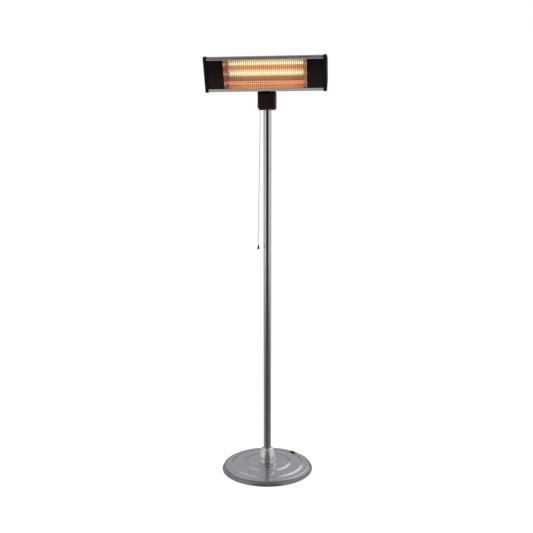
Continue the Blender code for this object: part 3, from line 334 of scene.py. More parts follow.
# Copies of one piece at marked places, each turned so that its own Z follows the place's aim.
copies, source, target = new_tree("copies at places", [("Piece", "NodeSocketObject"),
                                                       ("Finish", "NodeSocketMaterial")])
marked = add(copies, "GeometryNodeMeshToPoints", {"Mesh": source.outputs["Geometry"]})
aim = add(copies, "GeometryNodeInputNamedAttribute", {"Name": "aim"}, data_type="FLOAT_VECTOR")
turn = add(copies, "FunctionNodeAlignRotationToVector", {"Vector": aim.outputs[0]}, axis="Z")
pattern = add(copies, "GeometryNodeObjectInfo", {"Object": source.outputs["Piece"]})
stamped = add(copies, "GeometryNodeInstanceOnPoints",
              {"Points": marked.outputs[0], "Instance": pattern.outputs["Geometry"],
               "Rotation": turn.outputs[0]})
close_tree(copies, source, target, stamped.outputs[0])


def copied(pattern_mesh, places, finish):
    """One mesh that holds a copy of the pattern at each (place, aim)."""
    start = bpy.data.meshes.new("places")
    start.from_pydata([tuple(spot) for spot, _ in places], [], [])
    aims = start.attributes.new("aim", "FLOAT_VECTOR", "POINT")
    for item, (_, way) in zip(aims.data, places):
        item.vector = way
    sample = bpy.data.objects.new("sample", pattern_mesh)
    bpy.context.scene.collection.objects.link(sample)
    mesh = grown(copies, start, Piece=sample, Finish=finish)
    bpy.data.objects.remove(sample)
    return mesh


feet = []
for number in range(FOOT_COUNT):
    angle = pi / FOOT_COUNT + 2 * pi * number / FOOT_COUNT
    feet.append((Vector((FOOT_CIRCLE * cos(angle), FOOT_CIRCLE * sin(angle), 0.0)), (0, 0, 1)))
foot_mesh = copied(lathe(FOOT_LINE, 48, closed=False), feet, black_rubber)
fitted("feet", foot_mesh, None, "stand", ["foot_1", "foot_2", "foot_3"])

# ---- Cable inlet and supply lead ----------------------------------------------------------------------
# A black rubber hood in the cover, near the rear rim on the right, where the mains lead enters. The
# lead runs over the ballast to the middle of the foot and up inside the pole.
INLET_ANGLE = radians(55.0)
INLET_CIRCLE = 0.1940
INLET_SIZE = (0.0150, 0.0320)
INLET_HEIGHTS = (0.0132, 0.0285)
INLET_ROUNDING = 0.0066


def block(low, high):
    """A box between two corners, as a bmesh."""
    shape = bmesh.new()
    bmesh.ops.create_cube(shape, size=1.0)
    size = Vector(high) - Vector(low)
    bmesh.ops.scale(shape, vec=size, verts=shape.verts)
    bmesh.ops.translate(shape, vec=(Vector(high) + Vector(low)) / 2, verts=shape.verts)
    return shape


def as_mesh(shape, place=None):
    """A bmesh as a mesh, moved to its place."""
    mesh = bpy.data.meshes.new("made")
    shape.to_mesh(mesh)
    shape.free()
    if place:
        mesh.transform(place)
    return mesh


def with_steps(mesh, *steps):
    """A mesh after modifiers, each given as (type, settings)."""
    holder = bpy.data.objects.new("holder", mesh)
    bpy.context.scene.collection.objects.link(holder)
    for kind, settings in steps:
        step = holder.modifiers.new(kind.title(), kind)
        for key, value in settings.items():
            setattr(step, key, value)
    graph = bpy.context.evaluated_depsgraph_get()
    made = bpy.data.meshes.new_from_object(holder.evaluated_get(graph))
    bpy.data.objects.remove(holder)
    return made


def softened(mesh, width, segments=3, angle=30):
    """Edges rounded over. Loose ends of a filled outline are welded first."""
    return with_steps(mesh, ("WELD", {"merge_threshold": 0.000005}),
                      ("BEVEL", {"width": width, "segments": segments, "limit_method": "ANGLE",
                                 "angle_limit": radians(angle), "use_clamp_overlap": True}))


hood = softened(as_mesh(block((-INLET_SIZE[0] / 2, -INLET_SIZE[1] / 2, INLET_HEIGHTS[0]),
                              (INLET_SIZE[0] / 2, INLET_SIZE[1] / 2, INLET_HEIGHTS[1]))), INLET_ROUNDING, 8)
hood.transform(Matrix.Rotation(INLET_ANGLE, 4, "Z") @ Matrix.Translation((INLET_CIRCLE, 0, 0)))
fitted("inlet_hood", hood, black_rubber, "stand", ["cable_inlet"])
dressed(black_rubber, "supply_lead")

# ---- Flange, bolts and bell ---------------------------------------------------------------------------
# A zinc-plated flange with a stub for the pole is bolted through the foot. A bright chrome bell slides
# down the pole over it and hides the bolts. It is spun in one dome, with a rolled mouth.
BELL_SHEET = 0.0010
BELL_LINE = [
    (0.01930, 0.10600), (0.01950, 0.10665), (0.02060, 0.10685), (0.02350, 0.10650), (0.02680, 0.10490),
    (0.02980, 0.10170), (0.03300, 0.09600), (0.03610, 0.08740), (0.03850, 0.07840), (0.04010, 0.07020),
    (0.04120, 0.06220), (0.04200, 0.05420), (0.04260, 0.04760), (0.04320, 0.04260), (0.04380, 0.03960),
    (0.04440, 0.03780),
]

bright_chrome, tree, shader = surface("bright_chrome", (0.70, 0.69, 0.71), 0.08, 0.86)
marks = placed(tree, handling, Scale=22.0, Dust_scale=260.0)
toned(tree, shader, marks.outputs["Smudge"], (0.74, 0.73, 0.75), (0.71, 0.70, 0.71))
roughened(tree, shader, marks.outputs["Smudge"], 0.05, 0.14)
bell = lathe(sheet_section(soft_line(BELL_LINE), BELL_SHEET), 96)
fitted("bell", bell, bright_chrome, "stand", ["bell_cover"])
dressed(zinc_plate, "pole_flange", "flange_bolt_1", "flange_bolt_2", "flange_bolt_3",
        "pole_coupler_1", "pole_coupler_2", "pole_plug")

# ---- Pole ---------------------------------------------------------------------------------------------
# Three lengths of chromed 38 mm tube, pushed onto couplers inside. Each end has a fine chamfer, so a
# hairline shows where two lengths meet.
POLE_RADIUS = 0.0190
POLE_WALL = 0.0012
POLE_CHAMFER = 0.0003

pole_chrome, tree, shader = surface("pole_chrome", (0.70, 0.69, 0.70), 0.09, 1.0)
marks = placed(tree, handling, Scale=16.0, Dust_scale=220.0)
toned(tree, shader, marks.outputs["Smudge"], (0.73, 0.71, 0.71), (0.70, 0.68, 0.67))
roughened(tree, shader, marks.outputs["Smudge"], 0.07, 0.11)

for name in ("pole_lower", "pole_middle", "pole_upper"):
    low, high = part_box(name)[0][2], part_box(name)[1][2]
    outside, inside = POLE_RADIUS, POLE_RADIUS - POLE_WALL
    section = [(inside, high), (outside - POLE_CHAMFER, high), (outside, high - POLE_CHAMFER),
               (outside, low + POLE_CHAMFER), (outside - POLE_CHAMFER, low), (inside, low)]
    fitted(name + "_tube", lathe(section, 96), pole_chrome, "stand", [name])

# ---- Neck block ---------------------------------------------------------------------------------------
# Two moulded shells in black plastic, front and rear, screwed together from behind round the top of
# the pole. The block holds the switch and the terminals, and is open on top for the tilt hinge.
NECK_HALF_WIDTH = 0.0410
NECK_FRONT, NECK_BACK = -0.0480, 0.0280
NECK_BOTTOM, NECK_TOP = 1.7630, 1.8450
NECK_SPLIT = -0.0100
NECK_CORNER = 0.0110
NECK_SLOPE = 0.0130
NECK_WALL = 0.0025
SEAM = 0.0004
HINGE_Y, HINGE_Z = -0.0220, 1.8520
MOUTH = (0.0253, 0.0095, 0.0145)        # half width, and how far it opens before and behind the hinge
CORD_X, CORD_Y = -0.0315, -0.0220
NECK_SCREWS = (-0.0310, 0.0310)
NECK_SCREW_Z = 1.8330
POLE_HOLE = POLE_RADIUS + 0.0003
CORD_HOLE = 0.0043

# Fine grain of moulded plastic, the same all over a piece.
moulded, source, target = new_group("moulded grain", [("Grain per metre", "NodeSocketFloat", 2600.0)],
                                    [("Grain", "NodeSocketFloat"), ("Sheen", "NodeSocketFloat")])
place = add(moulded, "ShaderNodeTexCoord").outputs["Object"]
pits = add(moulded, "ShaderNodeTexNoise",
           {"Vector": place, "Scale": source.outputs["Grain per metre"], "Detail": 3.0})
flow = add(moulded, "ShaderNodeTexNoise", {"Vector": place, "Scale": 26.0, "Detail": 3.0})
moulded.links.new(pits.outputs["Fac"], target.inputs["Grain"])
moulded.links.new(flow.outputs["Fac"], target.inputs["Sheen"])

black_plastic, tree, shader = surface("black_plastic", (0.010, 0.004, 0.003), 0.42)
grain = placed(tree, moulded, Grain_per_metre=2600.0)
toned(tree, shader, grain.outputs["Sheen"], (0.007, 0.0028, 0.002), (0.013, 0.005, 0.004))
roughened(tree, shader, grain.outputs["Sheen"], 0.34, 0.52)
shader.inputs["Specular IOR Level"].default_value = 0.16
bumped(tree, shader, grain.outputs["Grain"], 0.35, 0.0003)


def drawn(outline, start, end):
    """A flat outline in (Y, Z), drawn out along X from start to end, with filled ends."""
    curve = bpy.data.curves.new("outline", "CURVE")
    curve.dimensions = "2D"
    curve.fill_mode = "BOTH"
    curve.extrude = (end - start) / 2
    line = curve.splines.new("POLY")
    line.points.add(len(outline) - 1)
    for point, (y, z) in zip(line.points, outline):
        point.co = (y, z, 0.0, 1.0)
    line.use_cyclic_u = True
    holder = bpy.data.objects.new("holder", curve)
    bpy.context.scene.collection.objects.link(holder)
    graph = bpy.context.evaluated_depsgraph_get()
    mesh = bpy.data.meshes.new_from_object(holder.evaluated_get(graph))
    bpy.data.objects.remove(holder)
    shape = bmesh.new()
    shape.from_mesh(mesh)
    bmesh.ops.remove_doubles(shape, verts=shape.verts, dist=0.000005)
    bmesh.ops.recalc_face_normals(shape, faces=shape.faces)
    shape.to_mesh(mesh)
    shape.free()
    mesh.transform(Matrix(((0, 0, 1, (start + end) / 2), (1, 0, 0, 0), (0, 1, 0, 0), (0, 0, 0, 1))))
    return mesh


def cutter(mesh):
    """A mesh as a hidden object that a Boolean can use."""
    made = bpy.data.objects.new("cutter", mesh)
    bpy.context.scene.collection.objects.link(made)
    made.hide_render = True
    return made


def shaped(mesh, *changes):
    """A mesh after Booleans, each given as (operation, mesh)."""
    others = [cutter(other) for _, other in changes]
    steps = [("BOOLEAN", {"operation": operation, "object": other})
             for (operation, _), other in zip(changes, others)]
    made = with_steps(mesh, *steps)
    for other in others:
        bpy.data.objects.remove(other)
    return made


def bar(radius, start, end, sides=48):
    """A round bar between two points."""
    shape = bmesh.new()
    run = Vector(end) - Vector(start)
    turn = run.to_track_quat("Z", "Y").to_matrix().to_4x4()
    bmesh.ops.create_cone(shape, cap_ends=True, segments=sides, radius1=radius, radius2=radius,
                          depth=run.length,
                          matrix=Matrix.Translation((Vector(start) + Vector(end)) / 2) @ turn)
    return as_mesh(shape)


def neck_form(inset):
    """The block's form, or, set in by a wall, the space inside it."""
    past = 0.0300
    front, back, top = NECK_FRONT + inset, NECK_BACK - inset, NECK_TOP - inset
    bulk = as_mesh(block((inset - NECK_HALF_WIDTH, front, NECK_BOTTOM + inset),
                         (NECK_HALF_WIDTH - inset, back, NECK_TOP + past)))
    form = softened(bulk, NECK_CORNER - inset, 7, 40)
    slope, turn = NECK_SLOPE - 0.6 * inset, NECK_CORNER - inset
    outline = [(front - past, NECK_BOTTOM - past), (back + past, NECK_BOTTOM - past),
               (back + past, top - turn), (back, top - turn)]
    for i in range(1, 7):
        angle = pi / 2 * i / 7
        outline.append((back - turn + turn * cos(angle), top - turn + turn * sin(angle)))
    outline += [(back - turn, top), (front + 1.3 * slope, top), (front + slope, top - 0.06 * slope),
                (front + 0.06 * slope, top - slope), (front, top - 1.3 * slope),
                (front - past, top - 1.3 * slope)]
    return shaped(form, ("INTERSECT", drawn(outline, -NECK_HALF_WIDTH - past, NECK_HALF_WIDTH + past)))


def neck_shell(low, high):
    """One half of the block, between two planes across Y, with its openings."""
    past = 0.1000
    half = as_mesh(block((-past, low, NECK_BOTTOM - past), (past, high, NECK_TOP + past)))
    mouth = as_mesh(block((-MOUTH[0], HINGE_Y - MOUTH[1], NECK_TOP - 0.0100),
                          (MOUTH[0], HINGE_Y + MOUTH[2] + 0.0220, NECK_TOP + 0.0100)))
    pole_hole = bar(POLE_HOLE, (0, 0, NECK_BOTTOM - 0.01), (0, 0, NECK_BOTTOM + 0.01), 96)
    cord_hole = bar(CORD_HOLE, (CORD_X, CORD_Y, NECK_BOTTOM - 0.01), (CORD_X, CORD_Y, NECK_BOTTOM + 0.006))
    return shaped(half, ("INTERSECT", neck_form(0.0)), ("DIFFERENCE", neck_form(NECK_WALL)),
                  ("DIFFERENCE", pole_hole), ("DIFFERENCE", mouth), ("DIFFERENCE", cord_hole))


fitted("neck_front", neck_shell(2 * NECK_FRONT, NECK_SPLIT - SEAM / 2), black_plastic, "stand",
       ["neck_shell_front"], 28)
fitted("neck_rear", neck_shell(NECK_SPLIT + SEAM / 2, 2 * NECK_BACK), black_plastic, "stand",
       ["neck_shell_rear"], 28)


def cross_screw(radius, height, shank, reach):
    """A pan head with a cross recess, on a shank that points down -Z from the seat at z 0."""
    line = [(0.0, height), (radius * 0.45, height * 0.96), (radius * 0.75, height * 0.80),
            (radius * 0.93, height * 0.50), (radius, height * 0.12), (radius * 0.97, 0.0), (shank, 0.0),
            (shank, -reach), (0.0, -reach)]
    head = lathe(line, 32, closed=False)
    arm, slot_half, deep = radius * 0.55, radius * 0.13, height * 0.55
    across = as_mesh(block((-arm, -slot_half, height - deep), (arm, slot_half, height + deep)))
    along = as_mesh(block((-slot_half, -arm, height - deep), (slot_half, arm, height + deep)))
    return shaped(head, ("DIFFERENCE", across), ("DIFFERENCE", along))


neck_places = [(Vector((x, NECK_BACK + 0.0003, NECK_SCREW_Z)), (0, 1, 0)) for x in NECK_SCREWS]
neck_screws = copied(cross_screw(0.0032, 0.0020, 0.0016, 0.0380), neck_places, zinc_plate)
fitted("neck_screws", neck_screws, None, "stand", ["neck_screw_1", "neck_screw_2"])

# ---- Tilt hinge ---------------------------------------------------------------------------------------
# A bent yoke is screwed to the plug in the pole. The head's tongue sits between its ears with a nylon
# washer on each side, and one bolt with a nut clamps them so that the head stays where it is set.
HINGE_SEAT = 0.0149
HEX_ACROSS = 0.0072
BOLT_RADIUS, BOLT_HEAD = 0.0040, 0.0050
NUT_BORE, NUT_HEIGHT = 0.0043, 0.0064


def hex_head(radius, height, bore=None):
    """A hexagon with its corners turned off at the outer face, standing on z 0."""
    shape = bmesh.new()
    bmesh.ops.create_cone(shape, cap_ends=True, segments=6, radius1=radius, radius2=radius, depth=height,
                          matrix=Matrix.Translation((0, 0, height / 2)))
    prism = as_mesh(shape)
    dome = lathe([(0.0, height), (radius * 0.86, height), (radius * 1.02, height * 0.78),
                  (radius * 1.02, -0.001), (0.0, -0.001)], 48, closed=False)
    changes = [("INTERSECT", dome)]
    if bore:
        changes.append(("DIFFERENCE", bar(bore, (0, 0, -0.01), (0, 0, height + 0.01))))
    return shaped(prism, *changes)


def facing(x, side):
    """A matrix that stands a piece on the hinge axis at x, pointing out to one side."""
    return Matrix.Translation((x, HINGE_Y, HINGE_Z)) @ Matrix.Rotation(side * pi / 2, 4, "Y")


bolt_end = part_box("hinge_bolt")[0][0]
shank = bar(BOLT_RADIUS, (0, 0, 0.001), (0, 0, bolt_end - HINGE_SEAT))
bolt = shaped(hex_head(HEX_ACROSS, BOLT_HEAD), ("UNION", shank))
bolt.transform(facing(HINGE_SEAT, 1))
fitted("tilt_bolt", bolt, zinc_plate, "stand", ["hinge_bolt"])
nut = hex_head(HEX_ACROSS, NUT_HEIGHT, NUT_BORE)
nut.transform(facing(-HINGE_SEAT, -1))
fitted("tilt_nut", nut, zinc_plate, "stand", ["hinge_nut"])
dressed(zinc_plate, "tilt_yoke", "head_tongue", "yoke_screw_1", "yoke_screw_2")

nylon, tree, shader = surface("nylon", (0.78, 0.77, 0.72), 0.45)
grain = placed(tree, moulded, Grain_per_metre=1800.0)
toned(tree, shader, grain.outputs["Sheen"], (0.70, 0.69, 0.64), (0.82, 0.81, 0.77))
bumped(tree, shader, grain.outputs["Grain"], 0.15, 0.0002)
dressed(nylon, "friction_washer_1", "friction_washer_2", "terminal_block", "switch_body", "switch_plunger",
        "switch_rotor")
dressed(zinc_plate, "plunger_spring")

# ---- Pull cord and knob -------------------------------------------------------------------------------
# A thin dark braid hangs from the switch's plunger through a bush in the neck. A tapered plastic knob
# is knotted on its end. It is 0.64 m long below the neck and hangs a little out of plumb.
CORD_RADIUS = 0.0010
CORD_DRIFT = 0.0090
CORD_EXIT = NECK_BOTTOM
CORD_LENGTH = 0.6360
KNOB_TOP = CORD_EXIT - CORD_LENGTH
KNOB_HEIGHT = 0.0190
CORD_START = 0.0200                     # how far inside the neck the braid is tied to the plunger
CORD_STEP = 0.0080

braided, tree, shader = surface("braided", (0.02, 0.016, 0.016), 0.85)
run = add(tree, "ShaderNodeTexCoord").outputs["UV"]
stretched = add(tree, "ShaderNodeMapping", {"Vector": run, "Scale": (420.0, 4.0, 1.0)})
strands = add(tree, "ShaderNodeTexWave", {"Vector": stretched.outputs[0], "Scale": 1.0, "Distortion": 0.6},
              bands_direction="DIAGONAL")
toned(tree, shader, strands.outputs["Fac"], (0.010, 0.008, 0.008), (0.040, 0.034, 0.032))
bumped(tree, shader, strands.outputs["Fac"], 0.8, 0.0003)

cord_places = [(0.000, CORD_EXIT + CORD_START), (0.000, CORD_EXIT), (0.000, CORD_EXIT - 0.0300),
               (0.030, CORD_EXIT - 0.0800), (0.160, CORD_EXIT - 0.1600), (0.420, CORD_EXIT - 0.2700),
               (0.560, CORD_EXIT - 0.3600), (0.800, CORD_EXIT - 0.4500), (0.880, CORD_EXIT - 0.5400),
               (0.960, CORD_EXIT - 0.5900), (1.160, CORD_EXIT - 0.6130), (1.000, KNOB_TOP + 0.0100),
               (1.000, KNOB_TOP + 0.0003)]


def soft_route(route, step):
    """Points every step along a soft curve through the route's own points."""
    ends = [route[0] * 2 - route[1], *route, route[-1] * 2 - route[-2]]
    found = []
    for a, b, c, d in zip(ends, ends[1:], ends[2:], ends[3:]):
        count = max(1, round((c - b).length / step))
        for i in range(count):
            t = i / count
            found.append(0.5 * (2 * b + (c - a) * t + (2 * a - 5 * b + 4 * c - d) * t ** 2
                                + (3 * b - a - 3 * c + d) * t ** 3))
    return found + [route[-1]]


braid = bpy.data.curves.new("cord_braid", "CURVE")
braid.dimensions = "3D"
braid.bevel_depth = CORD_RADIUS
braid.bevel_resolution = 3
braid.use_fill_caps = True
line = braid.splines.new("POLY")
route = soft_route([Vector((CORD_X - drift * CORD_DRIFT, CORD_Y, z)) for drift, z in cord_places],
                   CORD_STEP)
line.points.add(len(route) - 1)
for point, spot in zip(line.points, route):
    point.co = (*spot, 1.0)
line.use_smooth = True
braid.materials.append(braided)
cord = bpy.data.objects.new("cord_braid", braid)
bpy.context.scene.collection.objects.link(cord)
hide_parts("pull_cord")
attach(cord, "pull")

knob_low = KNOB_TOP - KNOB_HEIGHT
knob_line = [(0.0, KNOB_TOP), (0.0018, KNOB_TOP), (0.0026, KNOB_TOP - 0.0006),
             (0.0031, KNOB_TOP - 0.0022), (0.0034, KNOB_TOP - 0.0034), (0.0031, KNOB_TOP - 0.0040),
             (0.0037, KNOB_TOP - 0.0048),
             (0.0048, knob_low + 0.0070), (0.0056, knob_low + 0.0040), (0.0060, knob_low + 0.0026),
             (0.0062, knob_low + 0.0016), (0.0059, knob_low + 0.0005), (0.0052, knob_low), (0.0, knob_low)]
knob = lathe(knob_line, 48, closed=False)
knob.transform(Matrix.Translation((CORD_X - CORD_DRIFT, CORD_Y, 0.0)))
handle = fitted("knob", knob, black_plastic, "pull", ["pull_knob"])
dressed(black_plastic, "cord_bush")

# ---- Case of the head ---------------------------------------------------------------------------------
# One aluminium extrusion, open at the front between two lips and brushed along its length. Its back
# slopes in above and below, and has shallow grooves. It leans forward on the tilt hinge.
HEAD_TILT = radians(20.0)
FACE_BEFORE_AXIS, FACE_ABOVE_AXIS = 0.0423, 0.0827
HEAD_WIDTH = 0.5625
END_CAP_THICKNESS = 0.0150
CASE_HALF = HEAD_WIDTH / 2 - END_CAP_THICKNESS - 0.0003
FACE_HALF, BACK_HALF = 0.0790, 0.0520
CASE_DEPTH, CASE_RIM_DEPTH = 0.0850, 0.0180
CASE_WALL = 0.0020
OPENING_HALF = 0.0650
EDGE_CUT = 0.0042                       # the slanted front edge of the extrusion
head_place = Matrix.Translation((0, HINGE_Y, HINGE_Z)) @ Matrix.Rotation(HEAD_TILT, 4, "X")


def face(up, back):
    """(Y, Z) from the hinge axis of a point so far up the face and back from the front plane."""
    return (back - FACE_BEFORE_AXIS, up + FACE_ABOVE_AXIS)


def on_head(mesh):
    """A mesh made level is turned with the head and moved to the hinge."""
    mesh.transform(head_place)
    return mesh


def arc_points(up, back, radius, start, end, count=6):
    """Points of an arc in (up, back) between two angles in degrees, 0 being up and 90 back."""
    found = []
    for i in range(count + 1):
        angle = radians(start + (end - start) * i / count)
        found.append((up + radius * cos(angle), back + radius * sin(angle)))
    return found


def slanted_edge(side):
    """The upper or lower front edge in (up, back): a slant with softly turned ends."""
    low, soft = FACE_HALF - EDGE_CUT, 0.0004
    points = [(low - soft, 0.0), (low + 0.3 * soft, 0.3 * soft),
              (FACE_HALF - 0.3 * soft, EDGE_CUT - 0.3 * soft), (FACE_HALF, EDGE_CUT + soft)]
    return [(side * up, back) for up, back in points[::side]]


def grooved(start, end, places, width, depth):
    """Points of a straight wall with shallow grooves cut into its left side as it runs."""
    run = Vector(end) - Vector(start)
    way = run.normalized()
    inward = Vector((-way.y, way.x))
    found = [tuple(start)]
    for share in places:
        middle = Vector(start) + run * share
        for along, deep in ((-0.5, 0.0), (-0.28, 1.0), (0.28, 1.0), (0.5, 0.0)):
            found.append(tuple(middle + way * along * width + inward * deep * depth))
    return found + [tuple(end)]


def case_section():
    """The extrusion's outline in (up, back), from the top lip round the back to the bottom lip."""
    lean = atan2(FACE_HALF - BACK_HALF, CASE_DEPTH - CASE_RIM_DEPTH)
    turn_in = CASE_WALL * (1 - sin(lean)) / cos(lean)
    outer = slanted_edge(1)
    upper = grooved((FACE_HALF, CASE_RIM_DEPTH), (BACK_HALF, CASE_DEPTH), (0.25, 0.5, 0.75),
                    0.0022, -0.0007)
    rear = grooved((BACK_HALF, CASE_DEPTH), (-BACK_HALF, CASE_DEPTH), (0.12, 0.31, 0.5, 0.69, 0.88),
                   0.0024, -0.0007)
    lower = [(-up, back) for up, back in upper[::-1]]
    outer += upper + rear[1:-1] + lower + slanted_edge(-1)
    lip = [(-OPENING_HALF - 0.0006, 0.0), (-OPENING_HALF, 0.0006), (-OPENING_HALF, CASE_WALL)]
    inner = [(CASE_WALL - FACE_HALF, CASE_WALL), (CASE_WALL - FACE_HALF, CASE_RIM_DEPTH),
             (turn_in - BACK_HALF, CASE_DEPTH - CASE_WALL), (BACK_HALF - turn_in, CASE_DEPTH - CASE_WALL),
             (FACE_HALF - CASE_WALL, CASE_RIM_DEPTH), (FACE_HALF - CASE_WALL, CASE_WALL)]
    return outer + lip + inner + [(-up, back) for up, back in lip[::-1]]


def on_face(tree):
    """Object coordinates from the hinge, turned with the head: Y runs back, Z up the face."""
    level = add(tree, "ShaderNodeMapping", {"Vector": add(tree, "ShaderNodeTexCoord").outputs["Object"],
                                            "Location": (0.0, -HINGE_Y, -HINGE_Z)})
    turned_back = add(tree, "ShaderNodeMapping",
                      {"Vector": level.outputs[0], "Rotation": (-HEAD_TILT, 0.0, 0.0)})
    return add(tree, "ShaderNodeSeparateXYZ", {0: turned_back.outputs[0]}).outputs


# Brush lines that run along X, and a slow change of tone across them.
brush_lines, source, target = new_group("brush lines", [("Lines per metre", "NodeSocketFloat", 2400.0)],
                                        [("Line", "NodeSocketFloat"), ("Band", "NodeSocketFloat")])
place = add(brush_lines, "ShaderNodeTexCoord").outputs["Object"]
thin = vector_maths(brush_lines, "MULTIPLY", place, (0.012, 1.0, 1.0))
lines = add(brush_lines, "ShaderNodeTexNoise",
            {"Vector": thin, "Scale": source.outputs["Lines per metre"], "Detail": 2.0})
band = add(brush_lines, "ShaderNodeTexNoise", {"Vector": thin, "Scale": 60.0, "Detail": 1.0})
brush_lines.links.new(lines.outputs["Fac"], target.inputs["Line"])
brush_lines.links.new(band.outputs["Fac"], target.inputs["Band"])

anodised, tree, shader = surface("anodised", (0.50, 0.48, 0.50), 0.26, 0.95)
brushed = placed(tree, brush_lines, Lines_per_metre=2400.0)
# The shell behind the lips' front faces, slanted edges included, is a little darker: painted shade that
# gives the slanted front edges a dark line.
shell_shade_share = spread(tree, on_face(tree)["Y"], 0.0, 1.0,
                    0.0006 - FACE_BEFORE_AXIS, 0.0022 - FACE_BEFORE_AXIS)
lip_colour = blended(tree, brushed.outputs["Line"], (0.44, 0.41, 0.43), (0.58, 0.55, 0.56))
shell_colour = blended(tree, brushed.outputs["Line"], (0.40, 0.385, 0.40), (0.52, 0.50, 0.52))
toned(tree, shader, shell_shade_share, lip_colour, shell_colour)
roughened(tree, shader, brushed.outputs["Band"], 0.20, 0.30)
bumped(tree, shader, brushed.outputs["Line"], 0.08, 0.0003)

case = on_head(drawn([face(up, back) for up, back in case_section()], -CASE_HALF, CASE_HALF))
fitted("case_extrusion", case, anodised, "head", ["head_case"], 24)

# ---- End caps -----------------------------------------------------------------------------------------
# Moulded black caps close the extrusion's ends and stand a little proud of it all round. Each is held
# by four screws that go into the extrusion from the side.
CAP_PROUD = 0.0022
CAP_CORNER = 0.0045
WELL_RADIUS, WELL_DEPTH = 0.0042, 0.0016
CAP_SCREWS = ((0.0600, 0.0180), (-0.0600, 0.0180), (0.0380, 0.0680), (-0.0380, 0.0680))


def cap_section(grow):
    """The cap's outline in (up, back), wider than the case by the given amount."""
    lean = atan2(FACE_HALF - BACK_HALF, CASE_DEPTH - CASE_RIM_DEPTH)
    back_up = BACK_HALF + grow * (1 - sin(lean)) / cos(lean)
    points = arc_points(FACE_HALF + grow - CAP_CORNER, CAP_CORNER - grow, CAP_CORNER, -90, 0, 5)
    points += [(FACE_HALF + grow, CASE_RIM_DEPTH)]
    points += [(back_up + 0.0012, CASE_DEPTH + grow - 0.0040), (back_up - 0.0030, CASE_DEPTH + grow)]
    return points + [(-up, back) for up, back in points[::-1]]


cap_black, tree, shader = surface("cap_black", (0.006, 0.003, 0.003), 0.45)
grain = placed(tree, moulded, Grain_per_metre=2600.0)
toned(tree, shader, grain.outputs["Sheen"], (0.004, 0.0022, 0.002), (0.008, 0.0042, 0.004))
roughened(tree, shader, grain.outputs["Sheen"], 0.40, 0.56)
shader.inputs["Specular IOR Level"].default_value = 0.10
bumped(tree, shader, grain.outputs["Grain"], 0.35, 0.0003)

cap_screw = cross_screw(0.0030, 0.0012, 0.0015, 0.0040)
for name, side in (("left", -1), ("right", 1)):
    start, end = side * (CASE_HALF + 0.0003), side * HEAD_WIDTH / 2
    outline = [face(up, back) for up, back in cap_section(CAP_PROUD)]
    cap = softened(drawn(outline, min(start, end), max(start, end)), 0.0016, 4, 50)
    wells = [bar(WELL_RADIUS, (end - side * WELL_DEPTH, *face(up, back)),
                 (end + side * 0.01, *face(up, back)), 32) for up, back in CAP_SCREWS]
    cap = on_head(shaped(cap, *[("DIFFERENCE", well) for well in wells]))
    fitted(f"cap_{name}", cap, cap_black, "head", [f"end_cap_{name}"], 28)
    places = [(Vector((end - side * 0.0015, *face(up, back))), (side, 0, 0)) for up, back in CAP_SCREWS]
    screws = on_head(copied(cap_screw, places, zinc_plate))
    fitted(f"cap_screws_{name}", screws, None, "head")

# ---- Front panels -------------------------------------------------------------------------------------
# Black panels fill the front on both sides of the window. Each slides in behind the lips and has a
# slightly raised, smooth face.
PANEL_LENGTH = 0.0745
WINDOW_HALF = CASE_HALF - PANEL_LENGTH

panel_black, tree, shader = surface("panel_black", (0.008, 0.006, 0.006), 0.30)
grain = placed(tree, moulded, Grain_per_metre=900.0)
toned(tree, shader, grain.outputs["Sheen"], (0.003, 0.0014, 0.0012), (0.006, 0.003, 0.0025))
roughened(tree, shader, grain.outputs["Sheen"], 0.26, 0.38)
shader.inputs["Specular IOR Level"].default_value = 0.16
bumped(tree, shader, grain.outputs["Grain"], 0.05, 0.0002)

for name, side in (("left", -1), ("right", 1)):
    low, high = sorted((side * WINDOW_HALF, side * CASE_HALF))
    show, hold = OPENING_HALF - 0.0003, OPENING_HALF + 0.0090
    front, back = 0.0006, CASE_WALL + 0.0003
    step = [(show, front), (show, back), (hold, back), (hold, back + 0.0022), (-hold, back + 0.0022),
            (-hold, back), (-show, back), (-show, front)]
    panel = softened(drawn([face(up, at) for up, at in step], low, high), 0.0004, 2, 50)
    fitted(f"panel_{name}", on_head(panel), panel_black, "head", [f"front_panel_{name}"])

# ---- Reflector and end walls --------------------------------------------------------------------------
# Polished aluminium sheet, pressed into three long troughs behind the tubes, with a sloping wall at each
# end. The two upper tubes are lit; the sheet's warm glow in their light is painted on as emission.
REFLECTOR_SHEET = 0.0008
TROUGH_COUNT = 3
TROUGH_FRONT, TROUGH_BACK = 0.0120, 0.0400
TROUGH_PITCH = 2 * OPENING_HALF / TROUGH_COUNT
TUBE_DEPTH = 0.0270
TUBE_ROWS = [OPENING_HALF - (number + 0.5) * TROUGH_PITCH for number in range(TROUGH_COUNT)]
TROUGH_SAMPLES = 24
